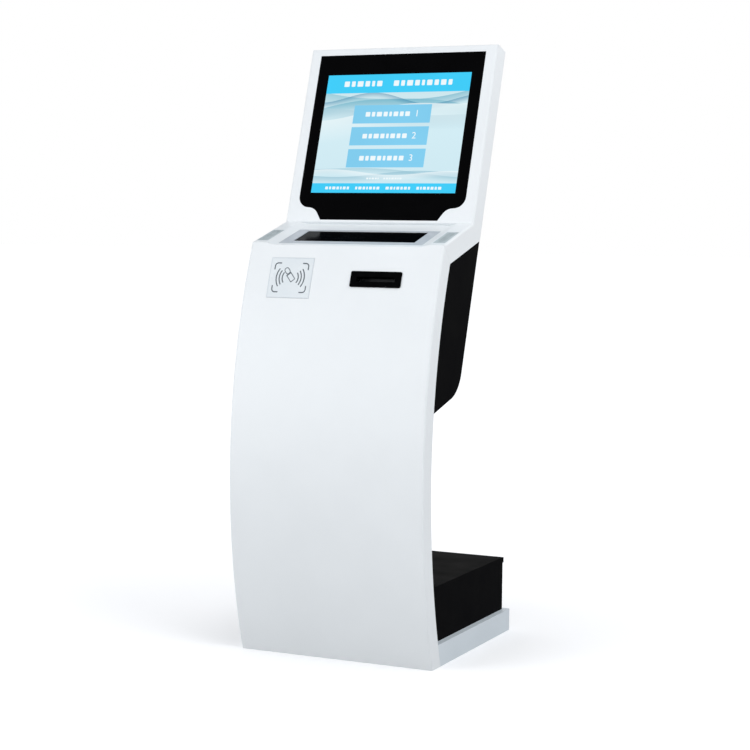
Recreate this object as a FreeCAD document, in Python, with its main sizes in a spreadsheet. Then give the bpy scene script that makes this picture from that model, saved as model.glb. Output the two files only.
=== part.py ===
import FreeCAD, Part
import math
import os
import types

import Sketcher

# Floor-standing queue ticket kiosk: a bowed white column on a flat foot, a sloping deck,
# a leaning 17-inch touch screen, and a black equipment cabinet hung behind the column.
# Millimetres. X runs to the viewer's right, Y to the back, Z up. The origin is on the floor,
# under the middle of the whole object.

SIZES = {
    "body_width": 440.0,
    "shell_wall": 3.0,
    "edge_radius": 5.0,
    "panel_end_radius": 0.6,
    "bow_radius": 1273.2,
    "bow_height": 378.5,
    "column_band": 40.5,
    "deck_front_height": 859.6,
    "deck_angle": 15.87,
    "deck_length": 156.6,
    "deck_band": 45.0,
    "deck_lip": 9.0,
    "valley_depth": 5.5,
    "valley_top_width": 372.0,
    "valley_floor_width": 332.0,
    "head_lean": 18.1,
    "head_length": 398.7,
    "head_depth": 46.0,
    "head_face_wall": 6.0,
    "head_flange_width": 12.0,
    "head_cover_thickness": 2.0,
    "glass_width": 390.0,
    "glass_top": 382.3,
    "glass_bottom": 5.0,
    "glass_shoulder": 32.6,
    "glass_shoulder_centre": 169.5,
    "glass_ogee_radius": 27.0,
    "glass_tab_slope": 57.0,
    "glass_thickness": 4.0,
    "glass_gap": 0.3,
    "glass_ledge": 8.0,
    "lcd_width": 358.5,
    "lcd_height": 296.5,
    "lcd_thickness": 12.0,
    "lcd_centre_height": 200.8,
    "gasket_thickness": 1.5,
    "gasket_rim": 8.0,
    "bracket_thickness": 1.5,
    "bracket_web_gap": 6.0,
    "bracket_edge_gap": 2.0,
    "bracket_lap": 14.0,
    "bracket_low": 80.0,
    "bracket_high": 320.0,
    "bracket_screw_low": 110.0,
    "bracket_screw_high": 290.0,
    "cover_screw_inset": 18.7,
    "scanner_width": 328.0,
    "scanner_front": 12.0,
    "scanner_depth": 102.0,
    "window_width": 277.4,
    "window_depth": 75.2,
    "window_front": 31.3,
    "window_thickness": 1.5,
    "scanner_box_depth": 24.0,
    "grille_width": 26.0,
    "grille_length": 78.0,
    "grille_front": 12.0,
    "grille_centre": 201.5,
    "grille_thickness": 1.5,
    "speaker_depth": 14.0,
    "ticket_arc": 416.4,
    "ticket_side": 80.8,
    "bezel_width": 113.5,
    "bezel_height": 33.7,
    "bezel_corner": 3.5,
    "bezel_proud": 2.0,
    "tunnel_width": 100.0,
    "tunnel_height": 22.0,
    "tunnel_depth": 10.0,
    "slot_width": 86.0,
    "slot_height": 10.0,
    "reader_arc": 416.0,
    "reader_side": 114.5,
    "reader_width": 99.0,
    "reader_height": 87.0,
    "reader_thickness": 3.0,
    "reader_proud": 0.4,
    "reader_box_depth": 18.0,
    "seam": 0.3,
    "cabinet_wall": 2.5,
    "cabinet_inset": 1.0,
    "cabinet_bottom_height": 522.6,
    "cabinet_bottom_slope": 14.4,
    "cabinet_corner_radius": 75.0,
    "door_width": 372.0,
    "door_top": 44.0,
    "door_bottom": 300.0,
    "door_thickness": 2.0,
    "door_overlap": 10.0,
    "hinge_reach": 24.0,
    "hinge_length": 50.0,
    "hinge_knuckle_radius": 3.5,
    "hinge_pin_radius": 1.5,
    "hinge_leaf_thickness": 1.5,
    "hinge_top": 90.0,
    "hinge_bottom": 250.0,
    "running_gap": 0.06,
    "lock_side": 162.0,
    "lock_level": 172.0,
    "lock_barrel_radius": 6.0,
    "cam_reach": 24.0,
    "fan_size": 80.0,
    "fan_thickness": 25.0,
    "fan_side": 100.0,
    "fan_level": 184.0,
    "fan_hub_radius": 13.0,
    "shelf_level": 98.0,
    "shelf_front": 44.0,
    "shelf_rear": 170.0,
    "shelf_thickness": 1.5,
    "shelf_flange": 15.0,
    "computer_width": 180.0,
    "computer_height": 45.0,
    "computer_front": 50.0,
    "computer_rear": 160.0,
    "computer_side": 60.0,
    "printer_half_width": 48.0,
    "printer_front": 22.0,
    "printer_rear": 150.0,
    "printer_top": 18.0,
    "printer_sheet": 1.5,
    "platen_radius": 6.3,
    "platen_depth": 46.0,
    "platen_half_length": 41.0,
    "shaft_radius": 3.0,
    "bush_radius": 5.0,
    "paper_gap": 0.3,
    "gear_module": 0.6,
    "gear_teeth": 40,
    "pinion_teeth": 16,
    "gear_width": 5.0,
    "gear_backlash": 0.16,
    "motor_radius": 10.0,
    "motor_length": 18.5,
    "roll_radius": 40.0,
    "roll_core_radius": 8.0,
    "roll_bore_radius": 6.5,
    "roll_width": 79.5,
    "roll_depth": 105.0,
    "roll_level": 50.0,
    "spindle_radius": 6.2,
    "head_pivot_depth": 78.0,
    "head_pivot_level": 10.0,
    "head_pivot_radius": 2.0,
    "cutter_front": 24.0,
    "cutter_rear": 36.0,
    "blade_thickness": 0.6,
    "base_depth": 434.7,
    "base_height": 47.3,
    "floor_plate_thickness": 6.0,
    "anchor_spacing_wide": 320.0,
    "anchor_spacing_deep": 280.0,
    "anchor_centre": 235.0,
    "anchor_hole_radius": 6.5,
    "base_box_width": 415.2,
    "base_box_rear": 423.0,
    "base_box_top": 164.0,
    "base_sheet": 1.6,
    "lid_drop": 12.0,
    "hatch_width": 320.0,
    "hatch_bottom": 56.0,
    "hatch_top": 146.0,
    "hatch_overlap": 10.0,
    "hatch_thickness": 2.0,
    "hatch_centre": 102.0,
    "inlet_side": 95.0,
    "switch_side": 30.0,
    "grommet_side": 70.0,
    "grommet_bore_radius": 9.0,
    "supply_width": 115.0,
    "supply_length": 215.0,
    "supply_height": 50.0,
    "supply_front": 150.0,
    "supply_side": 92.5,
    "cover_top": 528.0,
    "harness_radius": 3.0,
    "screw_radius": 1.5,
    "screw_head_radius": 3.2,
    "screw_head_height": 2.0,
    "screw_gap": 0.25,
}

Vec = FreeCAD.Vector
Place = FreeCAD.Placement
Turn = FreeCAD.Rotation
X_AXIS = Vec(1, 0, 0)
Y_AXIS = Vec(0, 1, 0)
Z_AXIS = Vec(0, 0, 1)

doc = FreeCAD.newDocument("queue_ticket_kiosk")
dims = doc.addObject("Spreadsheet::Sheet", "dims")
for row, (alias, value) in enumerate(SIZES.items(), start=1):
    dims.set(f"A{row}", alias)
    dims.set(f"B{row}", str(value))
    dims.setAlias(f"B{row}", alias)
doc.recompute()


class Size:
    # A size with its value now and the sheet expression that gives it.

    def __init__(self, text, value):
        self.text = text
        self.value = float(value)

    def __float__(self):
        return self.value

    def __neg__(self):
        return combine(0, "-", self)

    def __add__(self, other):
        return combine(self, "+", other)

    def __radd__(self, other):
        return combine(other, "+", self)

    def __sub__(self, other):
        return combine(self, "-", other)

    def __rsub__(self, other):
        return combine(other, "-", self)

    def __mul__(self, other):
        return combine(self, "*", other)

    def __rmul__(self, other):
        return combine(other, "*", self)

    def __truediv__(self, other):
        return combine(self, "/", other)


def as_size(value):
    return value if isinstance(value, Size) else Size(f"({float(value)!r})", value)


def combine(left, sign, right):
    left = as_size(left)
    right = as_size(right)
    results = {
        "+": lambda: left.value + right.value,
        "-": lambda: left.value - right.value,
        "*": lambda: left.value * right.value,
        "/": lambda: left.value / right.value,
    }
    return Size(f"({left.text} {sign} {right.text})", results[sign]())


size = types.SimpleNamespace(
    **{alias: Size(f"dims.{alias}", dims.get(alias)) for alias in SIZES}
)


# Side view: the bowed surface, the deck and the head

bow_radius = float(size.bow_radius)
bow_z = float(size.bow_height)
bow_reach = math.sqrt(bow_radius**2 - bow_z**2)
front_y = -(float(size.base_depth) - (bow_radius - bow_reach)) / 2
bow_y = front_y + bow_reach


def bow_angle(height, inset=0.0):
    # angle above the bow's centre, in degrees, of the surface this far behind the face
    return math.degrees(math.asin((height - bow_z) / (bow_radius - inset)))


def bow_point(angle, inset=0.0):
    radius = bow_radius - inset
    turn = math.radians(angle)
    return bow_y - radius * math.cos(turn), bow_z + radius * math.sin(turn)


def bow_at(height, inset=0.0):
    return bow_point(bow_angle(height, inset), inset)


def bow_arc(low, high, inset=0.0):
    # an arc of the bowed surface from one height to the other, for a sketch's path
    middle = (bow_angle(low, inset) + bow_angle(high, inset)) / 2
    return ("arc", bow_point(middle, inset), bow_at(high, inset))


def tilted(origin, angle):
    return Place(Vec(0, *origin), Turn(X_AXIS, angle))


def shifted(frame, x=0.0, y=0.0, z=0.0):
    return frame * Place(Vec(float(x), float(y), float(z)), Turn())


def seen_from(frame, point):
    local = frame.inverse().multVec(Vec(0, *point))
    return local.y, local.z


def out_of(frame, y, z):
    world = frame.multVec(Vec(0, float(y), float(z)))
    return world.y, world.z


WORLD = Place()
DECK = tilted(bow_at(float(size.deck_front_height)), float(size.deck_angle))
HEAD = tilted(out_of(DECK, size.deck_length, 0), -float(size.head_lean))
ticket_angle = math.degrees(float(size.ticket_arc) / bow_radius)
LEVEL = tilted(bow_point(ticket_angle), -ticket_angle)
TICKET = shifted(LEVEL, x=size.ticket_side)
reader_angle = math.degrees(float(size.reader_arc) / bow_radius)
READER = shifted(tilted(bow_point(reader_angle), -reader_angle), x=-size.reader_side)


def deck_meets_bow(depth, inset):
    # where a line this far under the deck meets the bowed surface, in the deck's frame
    centre_y, centre_z = seen_from(DECK, (bow_y, bow_z))
    radius = bow_radius - inset
    return centre_y - math.sqrt(radius**2 - (centre_z + depth) ** 2), -depth


def deck_meets_back(depth):
    # where a line this far under the deck meets the head's back plane, in the deck's frame
    back_y, back_z = seen_from(DECK, out_of(HEAD, size.head_depth, 0))
    top_y, top_z = seen_from(DECK, out_of(HEAD, size.head_depth, 100))
    share = (-depth - back_z) / (top_z - back_z)
    return back_y + share * (top_y - back_y), -depth


# Drawing helpers

finished = []


def bind(thing, **values):
    for name, value in values.items():
        if isinstance(value, Size):
            thing.setExpression(name, value.text)
        else:
            setattr(thing, name, value)


def keep(piece, label, frame=WORLD):
    piece.Label = label
    piece.Placement = frame
    finished.append(piece)
    return piece


def new_body(label):
    return doc.addObject("PartDesign::Body", label)


PLANE_TURNS = {
    "XY_Plane": Turn(),
    "XZ_Plane": Turn(X_AXIS, 90),
    "YZ_Plane": Turn(Vec(1, 1, 1), 120),
}
PLANE_SIGNS = {"XY_Plane": 1, "XZ_Plane": -1, "YZ_Plane": 1}


def sketch(body, name, plane, middle=0.0, frame=WORLD):
    made = body.newObject("Sketcher::SketchObject", name)
    base = next(f for f in body.Origin.OriginFeatures if f.Role == plane)
    made.AttachmentSupport = (base, "")
    made.MapMode = "FlatFace"
    turn = Place(Vec(), PLANE_TURNS[plane])
    lift = Place(Vec(0, 0, PLANE_SIGNS[plane] * float(middle)), Turn())
    made.AttachmentOffset = turn.inverse() * frame * turn * lift
    if isinstance(middle, Size) and frame is WORLD:
        made.setExpression("AttachmentOffset.Base.z", (PLANE_SIGNS[plane] * middle).text)
    return made


def fix(drawing, edge, corner, point):
    # ties a corner to the sketch's origin where its place comes from the sheet
    for kind, value in zip(("DistanceX", "DistanceY"), point):
        if isinstance(value, Size):
            tie = Sketcher.Constraint(kind, -1, 1, edge, corner, float(value))
            index = drawing.addConstraint(tie)
            drawing.setExpression(f"Constraints[{index}]", value.text)


def flat(point):
    return Vec(float(point[0]), float(point[1]), 0)


def draw_path(drawing, path):
    # path: a start point, then points for lines and ("arc", through, end) for arcs
    ends = [step[2] if step[0] == "arc" else step for step in path]
    edges = []
    for index, end in enumerate(ends):
        start = ends[index - 1]
        step = path[index]
        if step[0] == "arc":
            edges.append(Part.Arc(flat(start), flat(step[1]), flat(end)))
        else:
            edges.append(Part.LineSegment(flat(start), flat(end)))
    drawing.addGeometry(edges, False)
    corners = []
    for index, end in enumerate(ends):
        # a sketch turns its arcs counter-clockwise, so an edge may end at its first point
        first = drawing.getPoint(index, 1).distanceToPoint(flat(end))
        last = drawing.getPoint(index, 2).distanceToPoint(flat(end))
        corners.append((1, 2) if last < first else (2, 1))
    count = len(edges)
    for index in range(count):
        after = (index + 1) % count
        joint = Sketcher.Constraint(
            "Coincident", index, corners[index][1], after, corners[after][0]
        )
        drawing.addConstraint(joint)
    for index, end in enumerate(ends):
        fix(drawing, index, corners[index][1], end)


def box_path(low, high):
    return [low, (high[0], low[1]), high, (low[0], high[1])]


def round_path(half_wide, half_high, radius, middle=(0.0, 0.0)):
    # rectangle with rounded corners
    wide = float(half_wide)
    high = float(half_high)
    inner = float(radius)
    corner = inner * (1 - math.sqrt(0.5))
    mid_x, mid_y = float(middle[0]), float(middle[1])
    path = []
    for sign_x, sign_y in ((1, -1), (1, 1), (-1, 1), (-1, -1)):
        along_x = (mid_x + sign_x * (wide - inner), mid_y + sign_y * high)
        along_y = (mid_x + sign_x * wide, mid_y + sign_y * (high - inner))
        through = (mid_x + sign_x * (wide - corner), mid_y + sign_y * (high - corner))
        start, end = (along_x, along_y) if sign_x * sign_y < 0 else (along_y, along_x)
        path += [start, ("arc", through, end)]
    return path


def rounded_corner(before, corner, after, radius):
    # the start, middle and end of the arc that rounds a corner
    toward_before = (flat(before) - flat(corner)).normalize()
    toward_after = (flat(after) - flat(corner)).normalize()
    half = toward_before.getAngle(toward_after) / 2
    reach = float(radius) / math.tan(half)
    centre = flat(corner) + (toward_before + toward_after).normalize() * (
        float(radius) / math.sin(half)
    )
    start = flat(corner) + toward_before * reach
    end = flat(corner) + toward_after * reach
    through = centre + (flat(corner) - centre).normalize() * float(radius)
    return (start.x, start.y), ("arc", (through.x, through.y), (end.x, end.y))


def extrude(body, kind, name, drawing, low, high):
    made = body.newObject(f"PartDesign::{kind}", name)
    made.Profile = drawing
    made.SideType = "Symmetric"
    bind(made, Length=as_size(high) - as_size(low))
    return made


def middle_of(low, high):
    return (as_size(low) + as_size(high)) / 2


def slab(body, name, plane, path, low, high, frame=WORLD):
    drawing = sketch(body, f"{name}_outline", plane, middle_of(low, high), frame)
    draw_path(drawing, path)
    return extrude(body, "Pad", name, drawing, low, high)


def hollow(body, name, plane, path, low, high, frame=WORLD):
    drawing = sketch(body, f"{name}_outline", plane, middle_of(low, high), frame)
    draw_path(drawing, path)
    return extrude(body, "Pocket", name, drawing, low, high)


def draw_circles(drawing, centres, radius):
    for centre in centres:
        index = drawing.addGeometry(Part.Circle(flat(centre), Z_AXIS, float(radius)), False)
        fix(drawing, index, 3, centre)
        tie = drawing.addConstraint(Sketcher.Constraint("Radius", index, float(radius)))
        if isinstance(radius, Size):
            drawing.setExpression(f"Constraints[{tie}]", radius.text)


def discs(body, name, plane, centres, radius, low, high):
    drawing = sketch(body, f"{name}_outline", plane, middle_of(low, high))
    draw_circles(drawing, centres, radius)
    return extrude(body, "Pad", name, drawing, low, high)


def drill(body, name, plane, centres, radius, low, high):
    drawing = sketch(body, f"{name}_outline", plane, middle_of(low, high))
    draw_circles(drawing, centres, radius)
    return extrude(body, "Pocket", name, drawing, low, high)


def repeat(body, name, feature, axis, length, count):
    # a row of copies along one of the body's own axes
    made = body.newObject("PartDesign::LinearPattern", name)
    made.Originals = [feature]
    line = next(f for f in body.Origin.OriginFeatures if f.Role == axis)
    made.Direction = (line, [""])
    bind(made, Length=length)
    made.Occurrences = count
    body.Tip = made
    return made


def soften(body, name, chosen, radius):
    # rounds the edges of the body that the test picks
    doc.recompute()
    base = body.Tip
    names = [f"Edge{i}" for i, edge in enumerate(base.Shape.Edges, 1) if chosen(edge)]
    if not names:
        raise ValueError(f"{body.Label}: no edge to round for {name}")
    made = body.newObject("PartDesign::Fillet", name)
    made.Base = (base, names)
    bind(made, Radius=radius)
    return made


def block(name, x, y, z):
    made = doc.addObject("Part::Box", name)
    for side, (low, high) in zip(("Length", "Width", "Height"), (x, y, z)):
        bind(made, **{side: as_size(high) - as_size(low)})
    for letter, (low, high) in zip("xyz", (x, y, z)):
        made.setExpression(f"Placement.Base.{letter}", as_size(low).text)
    return made


def around(centre, half):
    return centre - half, centre + half


ROD_TURNS = {"X": Turn(Y_AXIS, 90), "Y": Turn(X_AXIS, -90), "Z": Turn()}


def rod(name, axis, start, radius, length):
    made = doc.addObject("Part::Cylinder", name)
    bind(made, Radius=as_size(radius), Height=as_size(length))
    made.Placement = Place(Vec(*[float(value) for value in start]), ROD_TURNS[axis])
    for letter, value in zip("xyz", start):
        made.setExpression(f"Placement.Base.{letter}", as_size(value).text)
    return made


def fused(name, pieces):
    made = doc.addObject("Part::MultiFuse", name)
    made.Shapes = pieces
    return made


def group(name, pieces):
    made = doc.addObject("Part::Compound", name)
    made.Links = pieces
    return made


def without(name, base, tools):
    made = doc.addObject("Part::Cut", name)
    made.Base = base
    made.Tool = tools[0] if len(tools) == 1 else fused(f"{name}_tools", tools)
    return made


def tube(name, axis, start, bore, radius, length):
    outer = rod(f"{name}_outer", axis, start, radius, length)
    inner = rod(f"{name}_bore", axis, start, bore, length)
    return without(name, outer, [inner])


def screw(name, axis, seat, side, length):
    # a screw with its head on the seat, on the given side of it along the axis
    reach = dict(zip("XYZ", ((1, 0, 0), (0, 1, 0), (0, 0, 1))))[axis]
    head_start = size.screw_head_height * (0 if side > 0 else -1)
    shank_start = as_size(0) - as_size(length) if side > 0 else as_size(0)
    head_at = [as_size(s) + head_start * r for s, r in zip(seat, reach)]
    shank_at = [as_size(s) + shank_start * r for s, r in zip(seat, reach)]
    head = rod(f"{name}_head", axis, head_at, size.screw_head_radius, size.screw_head_height)
    shank = rod(f"{name}_shank", axis, shank_at, size.screw_radius, length)
    return fused(name, [head, shank])


# Column

half_width = size.body_width / 2
inner_half = half_width - size.shell_wall
valley_top = size.valley_top_width / 2
valley_floor = size.valley_floor_width / 2
SIDES = ((-1, "left"), (1, "right"))
band = float(size.column_band)
wall = float(size.shell_wall)
deck_height = float(size.deck_front_height)
FAR = 400.0
THROUGH = 30.0
TOUCH = 0.01


def valley_path(lower):
    # cross-section of the shallow valley along the deck; lower drops it by a wall
    drop = size.valley_depth + lower
    return [
        (-valley_top, as_size(0) - lower),
        (-valley_floor, -drop),
        (valley_floor, -drop),
        (valley_top, as_size(0) - lower),
    ]


def cut_valley(body, frame):
    above = 20.0
    path = valley_path(0) + [(valley_top, above), (-valley_top, above)]
    hollow(body, "valley", "XZ_Plane", path, -FAR, FAR, frame)


def ticket_opening(body):
    gap = float(size.seam)
    wide = float(size.tunnel_width) / 2 + gap
    high = float(size.tunnel_height) / 2 + gap
    path = box_path((-wide, -high), (wide, high))
    hollow(body, "ticket_opening", "XZ_Plane", path, -THROUGH, THROUGH, TICKET)


def reader_opening(body):
    gap = float(size.seam)
    wide = float(size.reader_width) / 2 + gap
    high = float(size.reader_height) / 2 + gap
    path = box_path((-wide, -high), (wide, high))
    hollow(body, "reader_opening", "XZ_Plane", path, -THROUGH, THROUGH, READER)


def bowed_bar(body):
    # the panel's rounded section turned about the axis of the bow, past both of its ends
    axis_frame = Place(Vec(0, bow_y, bow_z), Turn())
    section = sketch(body, "bar_section", "XY_Plane", 0.0, axis_frame)
    face = -bow_radius
    rounding = size.edge_radius
    corner = float(rounding) * (1 - math.sqrt(0.5))
    wide = float(half_width)
    path = [
        (-half_width, face + band),
        (-half_width, face + rounding),
        ("arc", (corner - wide, face + corner), (rounding - half_width, face)),
        (half_width - rounding, face),
        ("arc", (wide - corner, face + corner), (half_width, face + rounding)),
        (half_width, face + band),
    ]
    draw_path(section, path)
    bar = body.newObject("PartDesign::Revolution", "bar")
    bar.Profile = section
    bar.ReferenceAxis = (section, ["H_Axis"])
    past_both_ends = 54.0
    bar.Angle = past_both_ends
    bar.Midplane = True


def front_panel():
    body = new_body("front_panel")
    bowed_bar(body)
    floor_cut = box_path((-FAR, -FAR), (FAR, as_size(0)))
    hollow(body, "floor_cut", "YZ_Plane", floor_cut, -FAR, FAR)
    deck_cut = box_path((-FAR, 0.0), (FAR, FAR))
    hollow(body, "deck_cut", "YZ_Plane", deck_cut, -FAR, FAR, DECK)
    under_deck = deck_meets_bow(float(size.deck_band), band)
    mitre = [(0.0, 0.0), (under_deck[0], under_deck[1]), (FAR, under_deck[1]), (FAR, 0.0)]
    hollow(body, "mitre", "YZ_Plane", mitre, -FAR, FAR, DECK)
    lip = deck_meets_bow(float(size.deck_lip), wall)
    lip_front = out_of(DECK, *lip)
    lip_back = out_of(DECK, lip[0] + FAR, lip[1])
    below = -20.0
    inside = [
        bow_at(below, wall),
        bow_arc(below, lip_front[1], wall),
        lip_back,
        (lip_back[0], below),
    ]
    hollow(body, "inside", "YZ_Plane", inside, -inner_half, inner_half)
    cut_valley(body, DECK)
    ticket_opening(body)
    reader_opening(body)

    def top_edge(edge):
        ends = [seen_from(DECK, (v.Point.y, v.Point.z)) for v in edge.Vertexes]
        corner_zone = 7.0
        shortest = 4.0
        at_corner = all(abs(y) < corner_zone and abs(z) < TOUCH for y, z in ends)
        return at_corner and edge.Length > shortest

    soften(body, "top_corner", top_edge, size.panel_end_radius)
    keep(body, "front_panel")


def column_rear_cover():
    body = new_body("column_rear_cover")
    thickness = 2.0
    low = float(size.base_height) + float(size.seam)
    high = float(size.cover_top)
    path = [
        bow_at(low, band - thickness),
        bow_arc(low, high, band - thickness),
        bow_at(high, band),
        bow_arc(high, low, band),
    ]
    edge = inner_half - size.seam
    slab(body, "sheet", "YZ_Plane", path, -edge, edge)
    opening_half = 115.0
    opening_low = 60.0
    opening_high = 140.0
    opening = box_path((-opening_half, opening_low), (opening_half, opening_high))
    hollow(body, "cable_opening", "XZ_Plane", opening, -FAR, FAR)
    keep(body, "column_rear_cover")


# Deck


grille_corner = 2.0


def grille_spot(side):
    middle_y = float(size.grille_front) + float(size.grille_length) / 2
    return side * float(size.grille_centre), middle_y


def deck_shell():
    body = new_body("deck_shell")
    depth = float(size.deck_band)
    side_path = [
        (0.0, 0.0),
        (size.deck_length, as_size(0)),
        deck_meets_back(depth),
        deck_meets_bow(depth, band),
    ]
    slab(body, "wedge", "YZ_Plane", side_path, -half_width, half_width)

    def top_edge(edge):
        box = edge.BoundBox
        side = abs(abs(box.XMax) - float(half_width)) < TOUCH
        return side and box.XLength < TOUCH and box.ZLength < TOUCH and box.ZMax > -TOUCH

    soften(body, "long_edges", top_edge, size.edge_radius)
    cut_valley(body, WORLD)
    under = -depth - 20.0
    below = [(-inner_half, as_size(-size.shell_wall)), (-inner_half, under)]
    beyond = [(inner_half, under), (inner_half, as_size(-size.shell_wall))]
    path = below + beyond + valley_path(size.shell_wall)[::-1]
    hollow(body, "underside", "XZ_Plane", path, -FAR, FAR)
    gap = size.seam
    frame_half = size.scanner_width / 2 + gap
    front = size.scanner_front - gap
    back = size.scanner_front + size.scanner_depth + gap
    opening = box_path((-frame_half, front), (frame_half, back))
    hollow(body, "scanner_opening", "XY_Plane", opening, -THROUGH, THROUGH)
    for side, word in SIDES:
        wide = float(size.grille_width) / 2
        long = float(size.grille_length) / 2
        rim = 3.0
        spot = grille_spot(side)
        seat = round_path(wide + float(gap), long + float(gap), grille_corner, spot)
        thick = size.grille_thickness
        hollow(body, f"grille_seat_{word}", "XY_Plane", seat, -thick, thick)
        hole = round_path(wide - rim, long - rim, grille_corner, spot)
        hollow(body, f"sound_hole_{word}", "XY_Plane", hole, -THROUGH, THROUGH)
    keep(body, "deck_shell", DECK)


def scanner_frame():
    body = new_body("scanner_frame")
    half = size.scanner_width / 2
    top = -size.valley_depth
    bottom = top - size.shell_wall
    outer = box_path(
        (-half, size.scanner_front), (half, size.scanner_front + size.scanner_depth)
    )
    slab(body, "plate", "XY_Plane", outer, bottom, top)
    window_half = size.window_width / 2 + size.seam
    front = size.window_front - size.seam
    back = size.window_front + size.window_depth + size.seam
    opening = box_path((-window_half, front), (window_half, back))
    hollow(body, "window_opening", "XY_Plane", opening, bottom - 1, top + 1)

    def inner_top_edge(edge):
        box = edge.BoundBox
        high = abs(box.ZMin - float(top)) < TOUCH and box.ZLength < TOUCH
        inside = abs(edge.CenterOfMass.x) < float(half) - 1
        long = max(box.XLength, box.YLength) < float(size.scanner_width) - 1
        return high and inside and long and edge.CenterOfMass.y > float(size.scanner_front) + 1

    rim_radius = 1.0
    soften(body, "window_rim", inner_top_edge, rim_radius)
    keep(body, "scanner_frame", DECK)


def scanner_window():
    half = size.window_width / 2
    top = size.window_thickness - size.valley_depth - size.shell_wall
    front = size.window_front
    piece = block(
        "scanner_window",
        (-half, half),
        (front, front + size.window_depth),
        (top - size.window_thickness, top),
    )
    keep_block(piece, "scanner_window", DECK)


def keep_block(piece, label, frame):
    # a lone block or rod keeps its own place inside a compound that carries the frame
    piece.Label = f"{label}_solid"
    holder = group(f"{label}_group", [piece])
    keep(holder, label, frame)


def scanner_housing():
    top = -size.valley_depth - size.shell_wall
    flange_thickness = 1.5
    rim = 8.0
    half = size.scanner_width / 2 + rim
    front = size.scanner_front - rim
    back = size.scanner_front + size.scanner_depth + rim
    flange = block("scanner_flange", (-half, half), (front, back), (top - flange_thickness, top))
    ledge = 6.0
    box_half = size.window_width / 2 - ledge
    box_front = size.window_front + ledge
    box_back = size.window_front + size.window_depth - ledge
    floor = top - size.scanner_box_depth
    well = block("scanner_well", (-box_half, box_half), (box_front, box_back), (floor, top))
    sheet = 2.0
    cavity = block(
        "scanner_cavity",
        (-box_half + sheet, box_half - sheet),
        (box_front + sheet, box_back - sheet),
        (floor + sheet, top + 1),
    )
    shell = without("scanner_shell", fused("scanner_solid", [flange, well]), [cavity])
    keep(shell, "scanner_housing", DECK)


def speaker_grille(side, word):
    body = new_body(f"speaker_grille_{word}")
    wide = float(size.grille_width) / 2
    long = float(size.grille_length) / 2
    middle_x, middle_y = grille_spot(side)
    outline = round_path(wide, long, grille_corner, (middle_x, middle_y))
    slab(body, "plate", "XY_Plane", outline, -size.grille_thickness, as_size(0))
    slot_pitch = 5.0
    slot_half = 1.1
    slots = 13
    slot_end = wide - 5.0
    first = middle_y - slot_pitch * (slots - 1) / 2
    slot = box_path(
        (middle_x - slot_end, first - slot_half), (middle_x + slot_end, first + slot_half)
    )
    cut = hollow(body, "slot", "XY_Plane", slot, -size.grille_thickness - 1, as_size(1))
    repeat(body, "slots", cut, "Y_Axis", slot_pitch * (slots - 1), slots)
    keep(body, f"speaker_grille_{word}", DECK)


def speaker(side, word):
    # a slim speaker held against the underside of the deck
    middle_x, middle_y = grille_spot(side)
    top = -size.shell_wall
    bottom = top - size.speaker_depth
    rim_depth = 3.0
    magnet_radius = 9.0
    magnet_depth = 5.0
    half = size.grille_width / 2 - 2 * size.seam
    long = size.grille_length / 2
    x = (middle_x - half, middle_x + half)
    y = (middle_y - long, middle_y + long)
    rim = block(f"speaker_rim_{word}", x, y, (top - rim_depth, top))
    taper = 4.0
    basket = block(
        f"speaker_basket_{word}",
        (middle_x - half + taper, middle_x + half - taper),
        (middle_y - long + taper, middle_y + long - taper),
        (bottom + magnet_depth, top - rim_depth),
    )
    magnet_start = (middle_x, middle_y, bottom)
    magnet = rod(f"speaker_magnet_{word}", "Z", magnet_start, magnet_radius, magnet_depth)
    return fused(f"speaker_solid_{word}", [rim, basket, magnet])


def speakers():
    pieces = [speaker(side, word) for side, word in SIDES]
    keep(group("speaker_group", pieces), "speakers", DECK)


# Head


def glass_path(grow):
    # outline of the bezel glass, made larger by grow on every side
    half = float(size.glass_width) / 2
    centre_x = float(size.glass_shoulder_centre)
    shoulder = float(size.glass_shoulder)
    outer = half - centre_x
    slope = math.radians(float(size.glass_tab_slope))
    ogee = float(size.glass_ogee_radius)
    top = float(size.glass_top) + grow
    bottom = float(size.glass_bottom) - grow
    outer_centre = shoulder + outer
    ogee_centre = shoulder - ogee
    outer += grow
    ogee -= grow
    diagonal = math.sqrt(0.5)

    def ogee_point(turn):
        return centre_x - ogee * math.sin(turn), ogee_centre + ogee * math.cos(turn)

    side = (centre_x + outer, outer_centre)
    side_through = (centre_x + outer * diagonal, outer_centre - outer * diagonal)
    shelf = (centre_x, shoulder - grow)
    tab_top = ogee_point(slope)
    drop = (tab_top[1] - bottom) / math.sin(slope)
    tab = (tab_top[0] - drop * math.cos(slope), bottom)
    right = [
        (half + grow, top),
        side,
        ("arc", side_through, shelf),
        ("arc", ogee_point(slope / 2), tab_top),
        tab,
    ]

    def flip(point):
        return -point[0], point[1]

    left = [
        flip(tab),
        flip(tab_top),
        ("arc", flip(ogee_point(slope / 2)), flip(shelf)),
        ("arc", flip(side_through), flip(side)),
        (-half - grow, top),
    ]
    return right + left


def bracket_screw_spots():
    # in the middle of the face wall's strip between the display opening and the side
    opening_half = size.glass_width / 2 - size.glass_ledge
    side = (inner_half + opening_half) / 2
    levels = (size.bracket_screw_low, size.bracket_screw_high)
    return [(side * sign, level) for sign in (-1, 1) for level in levels]


def cover_screw_spots():
    side = inner_half - size.head_flange_width / 2
    low = size.cover_screw_inset
    high = size.head_length - size.cover_screw_inset
    return [(side * sign, level) for sign in (-1, 1) for level in (low, (low + high) / 2, high)]


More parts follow.
